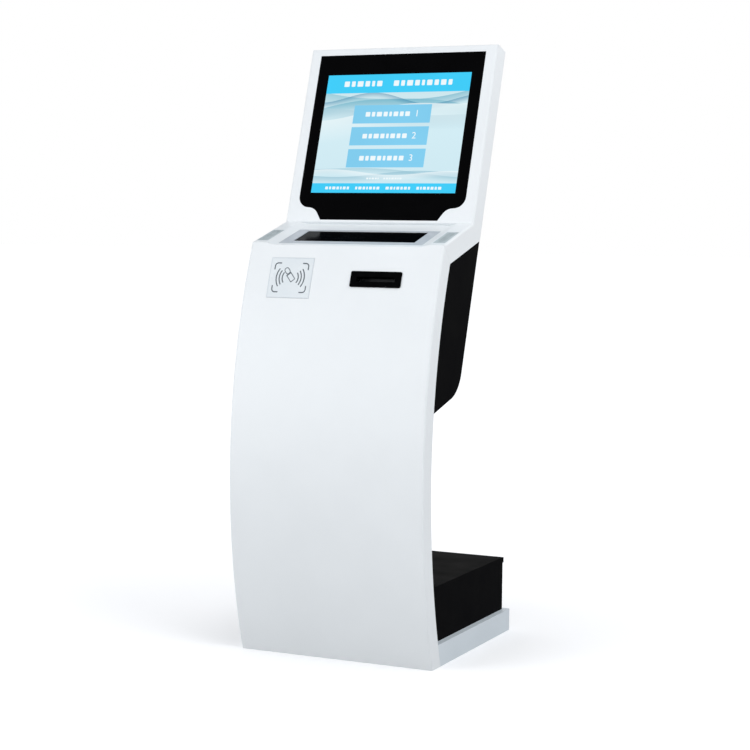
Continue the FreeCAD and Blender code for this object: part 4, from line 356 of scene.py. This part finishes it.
for finish, names in nodeFinish.items():
    for name in names:
        slots = nodes[name].data.materials
        slots.clear()
        slots.append(finishes[finish])
dressed = sum(len(names) for names in nodeFinish.values())
print("CAD nodes dressed:", dressed, "of", len(nodes))


# Making pieces

weld = 0.000001  # points nearer to each other than this are merged


def turned(bm, degrees, verts):  # turns points on XY, about its origin
    bmesh.ops.rotate(bm, cent=(0, 0, 0), matrix=Matrix.Rotation(math.radians(degrees), 3, "Z"), verts=verts)


def card(size, radius, thickness, centre=(0.0, 0.0), turn=0.0, hole=0.0):
    # a thin plate on XY with rounded corners; hole is the width of the rim that is left round a hole
    bm = bmesh.new()
    bmesh.ops.create_grid(bm, x_segments=1, y_segments=1, size=0.5)
    bmesh.ops.scale(bm, vec=(size[0], size[1], 1), verts=bm.verts)
    if radius:
        bmesh.ops.bevel(
            bm, geom=bm.verts[:], offset=radius, segments=5, profile=0.5, affect="VERTICES", material=-1
        )
    if hole:
        middle = bm.faces[:]
        bmesh.ops.inset_region(bm, faces=middle, thickness=hole, use_boundary=True, use_even_offset=True)
        bmesh.ops.delete(bm, geom=middle, context="FACES")
    thicken(bm, thickness)
    turned(bm, turn, bm.verts)
    bmesh.ops.translate(bm, vec=(centre[0], centre[1], 0), verts=bm.verts)
    return bm


def ringPart(radius, width, first, last, thickness, centre=(0.0, 0.0), steps=16):
    # a flat arc on XY from one angle to the other, in degrees
    bm = bmesh.new()
    ends = [bm.verts.new((radius + side * width / 2, 0, 0)) for side in (-1, 1)]
    edge = bm.edges.new(ends)
    turned(bm, first, ends)
    bmesh.ops.spin(
        bm,
        geom=ends + [edge],
        cent=(0, 0, 0),
        axis=(0, 0, 1),
        angle=math.radians(last - first),
        steps=steps,
        use_merge=False,
    )
    thicken(bm, thickness)
    bmesh.ops.translate(bm, vec=(centre[0], centre[1], 0), verts=bm.verts)
    return bm


def thicken(bm, thickness):
    raised = bmesh.ops.extrude_face_region(bm, geom=bm.faces[:])["geom"]
    moved = [part for part in raised if isinstance(part, bmesh.types.BMVert)]
    bmesh.ops.translate(bm, vec=(0, 0, thickness), verts=moved)
    bmesh.ops.recalc_face_normals(bm, faces=bm.faces[:])


def joined(parts):
    whole = bmesh.new()
    for part in parts:
        mesh = bpy.data.meshes.new("part")
        part.to_mesh(mesh)
        part.free()
        whole.from_mesh(mesh)
        bpy.data.meshes.remove(mesh)
    return whole


def lettered(text, height, thickness, centre):
    # plain numerals as a mesh, centred on a point of XY
    curve = bpy.data.curves.new("numeral", "FONT")
    curve.body = text
    curve.size = height
    curve.align_x = "CENTER"
    curve.align_y = "CENTER"
    curve.extrude = thickness / 2
    curve.resolution_u = 6
    shape = bpy.data.objects.new("numeral", curve)
    mesh = bpy.data.meshes.new_from_object(shape)
    bm = bmesh.new()
    bm.from_mesh(mesh)
    bmesh.ops.remove_doubles(bm, verts=bm.verts[:], dist=weld)
    bmesh.ops.translate(bm, vec=(centre[0], centre[1], thickness / 2), verts=bm.verts)
    bpy.data.objects.remove(shape)
    bpy.data.curves.remove(curve)
    bpy.data.meshes.remove(mesh)
    return bm


def finished(name, bm, place, material, body, smooth=False):
    bmesh.ops.transform(bm, matrix=place, verts=bm.verts)
    mesh = bpy.data.meshes.new(name)
    for face in bm.faces:
        face.smooth = smooth
    bm.to_mesh(mesh)
    bm.free()
    mesh.materials.append(material)
    piece = bpy.data.objects.new(name, mesh)
    bpy.context.scene.collection.objects.link(piece)
    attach(piece, body)
    return piece


# The front panel's two rounded folds, where its bowed face turns into its sides

fold = {
    "side": 0.22,
    "radius": 0.005,
    "strips": 9,
    "slack": 0.00006,
    "cutSlack": 0.000002,
    "sharpAngle": 30,
}
axisSide = fold["side"] - fold["radius"]
axisReach = kiosk["bowRadius"] - fold["radius"]


def pastAxis(point):  # how far a point lies past the fold's axis, sideways and away from the bow's centre
    reach = math.hypot(point.y - bowY, point.z - kiosk["bowHeight"])
    return abs(point.x) - axisSide, reach - axisReach


def onFold(face):  # true if all its corners lie on the round, but not all of them on one edge of it
    spots = [pastAxis(vert.co) for vert in face.verts]
    slack = fold["slack"]
    near = all(
        min(spot) > -slack and abs(math.hypot(*spot) - fold["radius"]) < slack for spot in spots
    )
    return near and all(max(spot[way] for spot in spots) > slack for way in (0, 1))


def setOnRound(vert, side, out):
    grow = fold["radius"] / math.hypot(side, out)
    reach = axisReach + out * grow
    turn = math.atan2(vert.co.z - kiosk["bowHeight"], bowY - vert.co.y)
    vert.co.x = math.copysign(axisSide + side * grow, vert.co.x)
    vert.co.y = bowY - reach * math.cos(turn)
    vert.co.z = kiosk["bowHeight"] + reach * math.sin(turn)


def roundFolds():
    # the node's mesh cuts straight across the folds, so a copy gets more points there, on the true round
    bm = bmesh.new()
    bm.from_mesh(nodes["front_panel"].data)
    bmesh.ops.remove_doubles(bm, verts=bm.verts[:], dist=weld)
    given = set(bm.verts)
    faces = [face for face in bm.faces if onFold(face)]
    verts = dict.fromkeys(vert for face in faces for vert in face.verts)
    edges = dict.fromkeys(edge for face in faces for edge in face.edges)
    geom = [*verts, *edges, *faces]
    for sign in (-1, 1):
        for strip in range(1, fold["strips"]):
            angle = math.radians(90 * strip / fold["strips"])
            middle = (sign * (axisSide + fold["radius"] * math.sin(angle)), 0, 0)
            geom = bmesh.ops.bisect_plane(
                bm, geom=geom, dist=fold["cutSlack"], plane_co=middle, plane_no=(1, 0, 0)
            )["geom"]
    for vert in bm.verts:
        side, out = pastAxis(vert.co)
        if vert not in given and min(side, out) >= fold["slack"]:
            setOnRound(vert, side, out)
    panel = finished(
        "front_panel_face", bm, Matrix(), finishes["whiteCoat"], "root", smooth=True
    )
    panel.data.set_sharp_from_angle(angle=math.radians(fold["sharpAngle"]))
    even = panel.modifiers.new("evenShade", "WEIGHTED_NORMAL")
    even.mode = "FACE_AREA"
    even.keep_sharp = True
    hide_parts("front_panel")
    print("folds rounded:", len(panel.data.polygons), "faces")


# The lit picture on the touch screen: plain bars, rows of plain blocks, and plain numerals

screen = {
    "width": 0.3379,
    "height": 0.2703,
    "low": 0.0657,
    "areas": {  # left, top, width and height, as shares of the picture
        "image": (0, 0, 1, 1),
        "header": (0, 0, 1, 0.157),
        "footer": (0, 0.92, 1, 0.08),
        "note": (0, 0.87, 1, 0.02),
    },
    "buttonLeft": 0.22,
    "buttonSize": (0.54, 0.155),
    "buttonTops": (0.262, 0.447, 0.633),
    "imageHeight": 0.0001,  # from here on in metres, and the heights are how thick a card is
    "barHeight": 0.00015,
    "markHeight": 0.0002,
    "imageCorner": 0.0006,
    "blocksAside": -0.01,
    "numeralAside": 0.059,
    "numeralSize": 0.021,
    "fadePatch": 0.12,
    "lights": {
        "litSkyBlue": {"colour": (66, 208, 252), "fade": 0.04},
        "litButtonBlue": {"colour": (131, 207, 241), "fade": 0.03},
        "litWhite": {"colour": (240, 250, 253), "fade": 0.02},
    },
    "sky": [(0.15, (206, 231, 238)), (0.5, (211, 237, 245)), (0.95, (206, 233, 242))],
    "glass": {  # black where it isn't lit, under the gloss of the glass
        "Base Color": (0.0, 0.0, 0.0, 1.0),
        "Roughness": 0.07,
        "Specular IOR Level": 0.3,
        "Emission Strength": 1.0,
    },
}

# Rows of blocks: each number in groups is how many blocks stand together
marks = {
    "shares": (1.0, 0.72, 1.12, 0.88, 0.56, 1.0, 0.8),  # of the width, for one block after another
    "space": 1.4,  # between two groups, in widths
    "corner": 0.12,  # in heights
    "rows": {
        "header": {"groups": (6, 9), "width": 0.0122, "gap": 0.0052, "height": 0.0125},
        "footer": {"groups": (7, 7, 7, 7), "width": 0.0066, "gap": 0.0028, "height": 0.0062},
        "note": {"groups": (5, 7), "width": 0.0048, "gap": 0.0022, "height": 0.0036},
        "button": {"groups": (8,), "width": 0.0108, "gap": 0.004, "height": 0.0105},
    },
}

# Ribbons across the picture: level, slope, swell and width are shares of its height, down from its top
ribbons = [
    {"level": 0.13, "slope": 0.16, "swell": 0.03, "turns": 0.8, "phase": 0.1, "width": 0.13,
     "colour": (150, 202, 216), "strength": 0.85},
    {"level": 0.29, "slope": -0.15, "swell": 0.03, "turns": 0.9, "phase": 0.55, "width": 0.1,
     "colour": (110, 180, 202), "strength": 0.7},
    {"level": 0.19, "slope": 0.03, "swell": 0.045, "turns": 1.3, "phase": 0.3, "width": 0.045,
     "colour": (48, 132, 172), "strength": 0.6},
    {"level": 0.3, "slope": 0.05, "swell": 0.02, "turns": 0.7, "phase": 0.8, "width": 0.12,
     "colour": (176, 210, 222), "strength": 0.75},
    {"level": 0.36, "slope": -0.13, "swell": 0.03, "turns": 1.0, "phase": 0.2, "width": 0.2,
     "colour": (233, 246, 249), "strength": 0.8},
    {"level": 0.79, "slope": 0.06, "swell": 0.02, "turns": 0.8, "phase": 0.4, "width": 0.05,
     "colour": (160, 202, 216), "strength": 0.7},
    {"level": 0.86, "slope": -0.04, "swell": 0.015, "turns": 1.1, "phase": 0.0, "width": 0.06,
     "colour": (134, 186, 206), "strength": 0.6},
    {"level": 0.82, "slope": 0.02, "swell": 0.02, "turns": 1.2, "phase": 0.6, "width": 0.05,
     "colour": (240, 249, 252), "strength": 0.7},
]


def litFinish(name, colour, fade):  # its light fades by that share, here and there over the panel
    material, tree, shader = newFinish(name, screen["glass"])
    full = tone(*colour)
    dim = tuple(part * (1 - fade) for part in full[:3]) + (1.0,)
    light = ramp(tree, grain(tree, objectPoint(tree), screen["fadePatch"], 1.0), driftStops(dim, full))
    tree.links.new(light, shader.inputs["Emission Color"])
    return material


def pictureFinish():
    # pale sky with soft ribbons; each has one clear edge and fades out below it
    material, tree, shader = newFinish("litPicture", screen["glass"])
    point = addNode(tree, "SeparateXYZ")
    tree.links.new(objectPoint(tree), point.inputs["Vector"])
    topZ = (headFrame @ Vector((0, 0, screen["low"] + screen["height"]))).z
    lowZ = (headFrame @ Vector((0, 0, screen["low"]))).z
    across = ranged(tree, point.outputs["X"], -screen["width"] / 2, screen["width"] / 2)
    down = ranged(tree, point.outputs["Z"], topZ, lowZ)
    colour = ramp(tree, down, [(place, tone(*shade)) for place, shade in screen["sky"]])
    for ribbon in ribbons:
        rate = math.tau * ribbon["turns"]
        swing = reckoned(tree, "MULTIPLY_ADD", across, rate, math.tau * ribbon["phase"])
        wave = reckoned(tree, "SINE", swing)
        level = reckoned(tree, "MULTIPLY_ADD", wave, ribbon["swell"], ribbon["level"])
        edge = reckoned(tree, "MULTIPLY_ADD", across, ribbon["slope"], level)
        below = reckoned(tree, "SUBTRACT", down, edge)
        faded = ranged(tree, below, 0.0, ribbon["width"], ribbon["strength"], 0.0)
        share = reckoned(tree, "MULTIPLY", faded, reckoned(tree, "GREATER_THAN", below, 0.0))
        colour = blended(tree, share, colour, tone(*ribbon["colour"]))
    tree.links.new(colour, shader.inputs["Emission Color"])
    return material


def onScreen(left, top, width, height):  # the middle and the size of an area of the picture, in metres
    middleX = (left + width / 2 - 0.5) * screen["width"]
    middleZ = screen["low"] + (1 - top - height / 2) * screen["height"]
    return (middleX, middleZ), (width * screen["width"], height * screen["height"])


def screenCard(area, thickness, radius=0.0):
    centre, size = onScreen(*area)
    return card(size, radius, thickness, centre)


def blockRow(middle, level, groups, width, gap, height):
    steps = []
    for count in groups:
        start = len(steps)
        for index in range(start, start + count):
            steps.append(width * marks["shares"][index % len(marks["shares"])])
        steps.append(-width * marks["space"])  # a negative step is the space between two groups
    steps.pop()
    place = middle - (sum(abs(step) + gap for step in steps) - gap) / 2
    row = []
    for step in steps:
        if step > 0:
            spot = (place + step / 2, level)
            row.append(card((step, height), height * marks["corner"], screen["markHeight"], spot))
        place += abs(step) + gap
    return row


def litScreen():
    areas = screen["areas"]
    buttons = [(screen["buttonLeft"], top, *screen["buttonSize"]) for top in screen["buttonTops"]]
    blocks = []
    for name in ("header", "footer", "note"):
        middle, level = onScreen(*areas[name])[0]
        blocks += blockRow(middle, level, **marks["rows"][name])
    numerals = []
    for number, button in enumerate(buttons, start=1):
        middle, level = onScreen(*button)[0]
        blocks += blockRow(middle + screen["blocksAside"], level, **marks["rows"]["button"])
        spot = (middle + screen["numeralAside"], level)
        numerals.append(lettered(str(number), screen["numeralSize"], screen["markHeight"], spot))

    sky, blue, white = (litFinish(name, **light) for name, light in screen["lights"].items())
    image = screenCard(areas["image"], screen["imageHeight"], screen["imageCorner"])
    bar = screen["barHeight"]
    pieces = {
        "screen_image": (image, pictureFinish()),
        "screen_header": (screenCard(areas["header"], bar), sky),
        "screen_footer": (screenCard(areas["footer"], bar), sky),
        "screen_buttons": (joined([screenCard(button, bar) for button in buttons]), blue),
        "screen_marks": (joined(blocks), white),
        "screen_numerals": (joined(numerals), white),
    }
    for name, (bm, light) in pieces.items():
        finished(name, bm, headFrame @ forwards, light, "root")
    print("screen lit")


# The card symbol on the reader plate

symbol = {
    "plateSize": (0.099, 0.087),
    "edge": 0.0012,
    "edgeInset": 0.0004,
    "edgeCorner": 0.001,
    "proud": 0.0004,
    "ink": 0.00015,
    "slice": 0.008,
    "bracketWide": 0.080,
    "bracketHigh": 0.065,
    "bracketLeg": 0.0155,
    "bracketBend": 0.008,
    "bracketLine": 0.0024,
    "bracketSteps": 8,
    "bracketWeld": 0.00002,
    "waveRadii": (0.0185, 0.0255, 0.0325),
    "waveLine": 0.0024,
    "waveHalf": 36,
    "tilt": -50,
    "shapes": {  # an outline of 0 leaves the shape filled
        "card": {"size": (0.0195, 0.0125), "radius": 0.0012, "centre": (0.0012, 0.001), "outline": 0.0016},
        "hand": {"size": (0.0155, 0.0115), "radius": 0.0052, "centre": (-0.0086, 0.0146), "outline": 0.0016},
        "grip": {"size": (0.0026, 0.0125), "radius": 0.0004, "centre": (-0.0043, 0.0076), "outline": 0.0},
    },
}


def sliced(bm):  # cuts a flat shape across, so that it can bend round the column
    step = symbol["slice"]
    levels = [vert.co.y for vert in bm.verts]
    level = math.floor(min(levels) / step) * step + step
    while level < max(levels):
        everything = bm.verts[:] + bm.edges[:] + bm.faces[:]
        bmesh.ops.bisect_plane(bm, geom=everything, plane_co=(0, level, 0), plane_no=(0, 1, 0))
        level += step


def bent(bm):
    # wraps a shape drawn on XY round the bowed front, at the reader's place
    sliced(bm)
    for vert in bm.verts:
        y, z = onBow(kiosk["readerArc"] + vert.co.y, symbol["proud"] + vert.co.z)
        vert.co = (kiosk["readerSide"] + vert.co.x, y, z)
    bmesh.ops.recalc_face_normals(bm, faces=bm.faces[:])
    return bm


def bracket(sideX, sideY):
    # one rounded corner of the frame round the card symbol: two legs joined by a quarter ring
    cornerX = symbol["bracketWide"] / 2
    cornerY = symbol["bracketHigh"] / 2
    bend = symbol["bracketBend"]
    line = symbol["bracketLine"]
    leg = symbol["bracketLeg"] - bend
    ink = symbol["ink"]
    bendCentre = (cornerX - bend, cornerY - bend)
    parts = [
        card((leg, line), 0, ink, (cornerX - bend - leg / 2, cornerY - line / 2)),
        card((line, leg), 0, ink, (cornerX - line / 2, cornerY - bend - leg / 2)),
        ringPart(bend - line / 2, line, 0, 90, ink, bendCentre, symbol["bracketSteps"]),
    ]
    corner = joined(parts)
    bmesh.ops.remove_doubles(corner, verts=corner.verts[:], dist=symbol["bracketWeld"])
    bmesh.ops.scale(corner, vec=(sideX, sideY, 1), verts=corner.verts[:])
    bmesh.ops.recalc_face_normals(corner, faces=corner.faces[:])
    return corner


def readerSymbol():
    ink = symbol["ink"]
    parts = [bracket(sideX, sideY) for sideX in (-1, 1) for sideY in (-1, 1)]
    for radius in symbol["waveRadii"]:
        for middle in (0, 180):
            first = middle - symbol["waveHalf"]
            last = middle + symbol["waveHalf"]
            parts.append(ringPart(radius, symbol["waveLine"], first, last, ink))
    for shape in symbol["shapes"].values():
        parts.append(
            card(shape["size"], shape["radius"], ink, shape["centre"], symbol["tilt"], shape["outline"])
        )
    finished(
        "reader_symbol", bent(joined(parts)), Matrix(), finishes["readerInk"], "root"
    )
    size = [side - 2 * symbol["edgeInset"] for side in symbol["plateSize"]]
    rim = card(size, symbol["edgeCorner"], ink, hole=symbol["edge"])
    finished("reader_edge", bent(rim), Matrix(), finishes["readerTrim"], "root")
    print("reader printed")


# Painted shade: dark crosses laid on the heads of the screws that show from behind, where their cross
# recesses would lie in shade

recessShade = {
    "arm": 0.0038,
    "line": 0.001,
    "corner": 0.0003,
    "depth": 0.00008,
    "heads": {  # turn is how much further each cross is turned than the one before it, in degrees
        "cover_screw_recess_shade": {
            "frame": headFrame, "plane": 0.048, "side": 0.211, "levels": (0.0187, 0.19935, 0.38), "turn": 17,
        },
        "hatch_screw_recess_shade": {
            "frame": Matrix(), "plane": 0.2368, "side": 0.155, "levels": (0.064, 0.101, 0.138), "turn": 23,
        },
    },
}


def crosses(side, levels, turn):
    size = (recessShade["arm"], recessShade["line"])
    parts = []
    for sign in (-1, 1):
        for count, level in enumerate(levels, start=1):
            for quarter in (0, 90):
                angle = turn * count * sign + quarter
                parts.append(card(size, recessShade["corner"], recessShade["depth"], (sign * side, -level), angle))
    return joined(parts)


def screwRecesses():
    for name, heads in recessShade["heads"].items():
        bm = crosses(heads["side"], heads["levels"], heads["turn"])
        place = heads["frame"] @ Matrix.Translation((0, heads["plane"], 0)) @ backwards
        finished(name, bm, place, finishes["recessShade"], "root")
    print("screw heads recessed")


roundFolds()
litScreen()
readerSymbol()
screwRecesses()


# Floor, light and camera

studio = {
    "camera": (1.6932, -3.6274, 0.9161),
    "azimuth": 25.0555,
    "pitch": 4.8370,
    "roll": -0.5613,
    "lens": 90.26,
    "sensor": 36,
    "floorSize": 40.0,
    "floorTone": 0.5,
    # the floor's glow is weaker near the object: a painted shade pool round it
    "floorGlowAndShadePool": {"near": 0.06, "far": 0.27, "from": 0.7, "to": 2.8},
    "sky": 0.84,
    "skyTone": (249, 251, 255),
    "backdrop": {"low": 1.0, "high": 0.08, "from": 0.12, "to": 0.42},
    "lamps": {
        "keyLamp": {"place": (-3.0, -3.6, 1.5), "size": 2.2, "watts": 58, "mirrored": True},
        "sideLamp": {"place": (2.2, -1.1, 2.1), "size": 1.6, "watts": 24, "mirrored": False},
        "backLamp": {"place": (0.6, 3.2, 2.6), "size": 2.0, "watts": 14, "mirrored": True},
    },
    "aim": (0.0, 0.0, 0.65),
}


def layFloor():
    bm = bmesh.new()
    bmesh.ops.create_grid(bm, x_segments=1, y_segments=1, size=studio["floorSize"])
    mesh = bpy.data.meshes.new("studio_floor")
    bm.to_mesh(mesh)
    bm.free()
    floor = bpy.data.objects.new("studio_floor", mesh)
    bpy.context.scene.collection.objects.link(floor)
    material = bpy.data.materials.new("paleFloor")
    material.use_nodes = True
    tree = material.node_tree
    tree.nodes.clear()
    pale = addNode(tree, "BsdfDiffuse", {"Color": (studio["floorTone"],) * 3 + (1.0,)})
    glow = addNode(tree, "Emission", {"Color": (1.0, 1.0, 1.0, 1.0)})
    # the far floor glows into the white backdrop; near the foot the glow is weaker, a painted shade pool
    # round the object, and the floor there keeps its shadow
    reach = addNode(tree, "VectorMath", operation="LENGTH")
    tree.links.new(objectPoint(tree), reach.inputs[0])
    glowAndShadePool = studio["floorGlowAndShadePool"]
    strength = ranged(tree, reach.outputs["Value"], glowAndShadePool["from"], glowAndShadePool["to"], glowAndShadePool["near"], glowAndShadePool["far"])
    # the camera sees the floor twice as bright and glowing, so that it is white outside the shadow
    twice = addNode(tree, "AddShader")
    lit = addNode(tree, "AddShader")
    choose = addNode(tree, "MixShader")
    linked(
        tree,
        (strength, glow.inputs["Strength"]),
        (pale.outputs[0], twice.inputs[0]),
        (pale.outputs[0], twice.inputs[1]),
        (twice.outputs[0], lit.inputs[0]),
        (glow.outputs[0], lit.inputs[1]),
        (addNode(tree, "LightPath").outputs["Is Camera Ray"], choose.inputs["Fac"]),
        (pale.outputs[0], choose.inputs[1]),
        (lit.outputs[0], choose.inputs[2]),
        (choose.outputs[0], addNode(tree, "OutputMaterial").inputs["Surface"]),
    )
    mesh.materials.append(material)


def lightWorld():
    world = bpy.data.worlds.new("studioWorld")
    bpy.context.scene.world = world
    world.use_nodes = True
    tree = world.node_tree
    tree.nodes.clear()
    soft = addNode(tree, "Background", {"Color": tone(*studio["skyTone"]), "Strength": studio["sky"]})
    white = addNode(tree, "Background", {"Strength": 1.0})
    direction = addNode(tree, "SeparateXYZ")
    tree.links.new(addNode(tree, "TexCoord").outputs["Generated"], direction.inputs["Vector"])
    # the white backdrop stands round the object, and the studio above it is dim in reflections
    edge = studio["backdrop"]
    up = direction.outputs["Z"]
    above = ranged(tree, up, edge["from"], edge["to"], edge["low"], edge["high"], "SMOOTHSTEP")
    rays = addNode(tree, "LightPath").outputs
    mirrored = reckoned(tree, "MAXIMUM", rays["Is Glossy Ray"], rays["Is Transmission Ray"])
    choose = addNode(tree, "MixShader")
    linked(
        tree,
        (reckoned(tree, "MAXIMUM", rays["Is Camera Ray"], above), white.inputs["Color"]),
        (reckoned(tree, "MAXIMUM", rays["Is Camera Ray"], mirrored), choose.inputs["Fac"]),
        (soft.outputs[0], choose.inputs[1]),
        (white.outputs[0], choose.inputs[2]),
        (choose.outputs[0], addNode(tree, "OutputWorld").inputs["Surface"]),
    )


def hangLamps():
    aim = Vector(studio["aim"])
    for name, lamp in studio["lamps"].items():
        light = bpy.data.lights.new(name, "AREA")
        light.energy = lamp["watts"]
        light.size = lamp["size"]
        shade = bpy.data.objects.new(name, light)
        bpy.context.scene.collection.objects.link(shade)
        shade.location = lamp["place"]
        shade.rotation_euler = (aim - shade.location).to_track_quat("-Z", "Y").to_euler()
        shade.visible_glossy = lamp["mirrored"]


def setCamera():
    azimuth, pitch, roll = (math.radians(studio[name]) for name in ("azimuth", "pitch", "roll"))
    back = Vector(
        (math.sin(azimuth) * math.cos(pitch), -math.cos(azimuth) * math.cos(pitch), math.sin(pitch))
    )
    right = (-back).cross(Vector((0, 0, 1))).normalized()
    down = (-back).cross(right)
    acrossView = math.cos(roll) * right + math.sin(roll) * down
    downView = -math.sin(roll) * right + math.cos(roll) * down
    turn = Matrix((acrossView, -downView, back)).transposed().to_4x4()
    lens = bpy.data.cameras.new("studioCamera")
    lens.lens = studio["lens"]
    lens.sensor_width = studio["sensor"]
    camera = bpy.data.objects.new("studioCamera", lens)
    bpy.context.scene.collection.objects.link(camera)
    camera.matrix_world = Matrix.Translation(studio["camera"]) @ turn
    bpy.context.scene.camera = camera


layFloor()
lightWorld()
hangLamps()
setCamera()
bpy.context.scene.view_settings.view_transform = "Standard"
print("studio set")
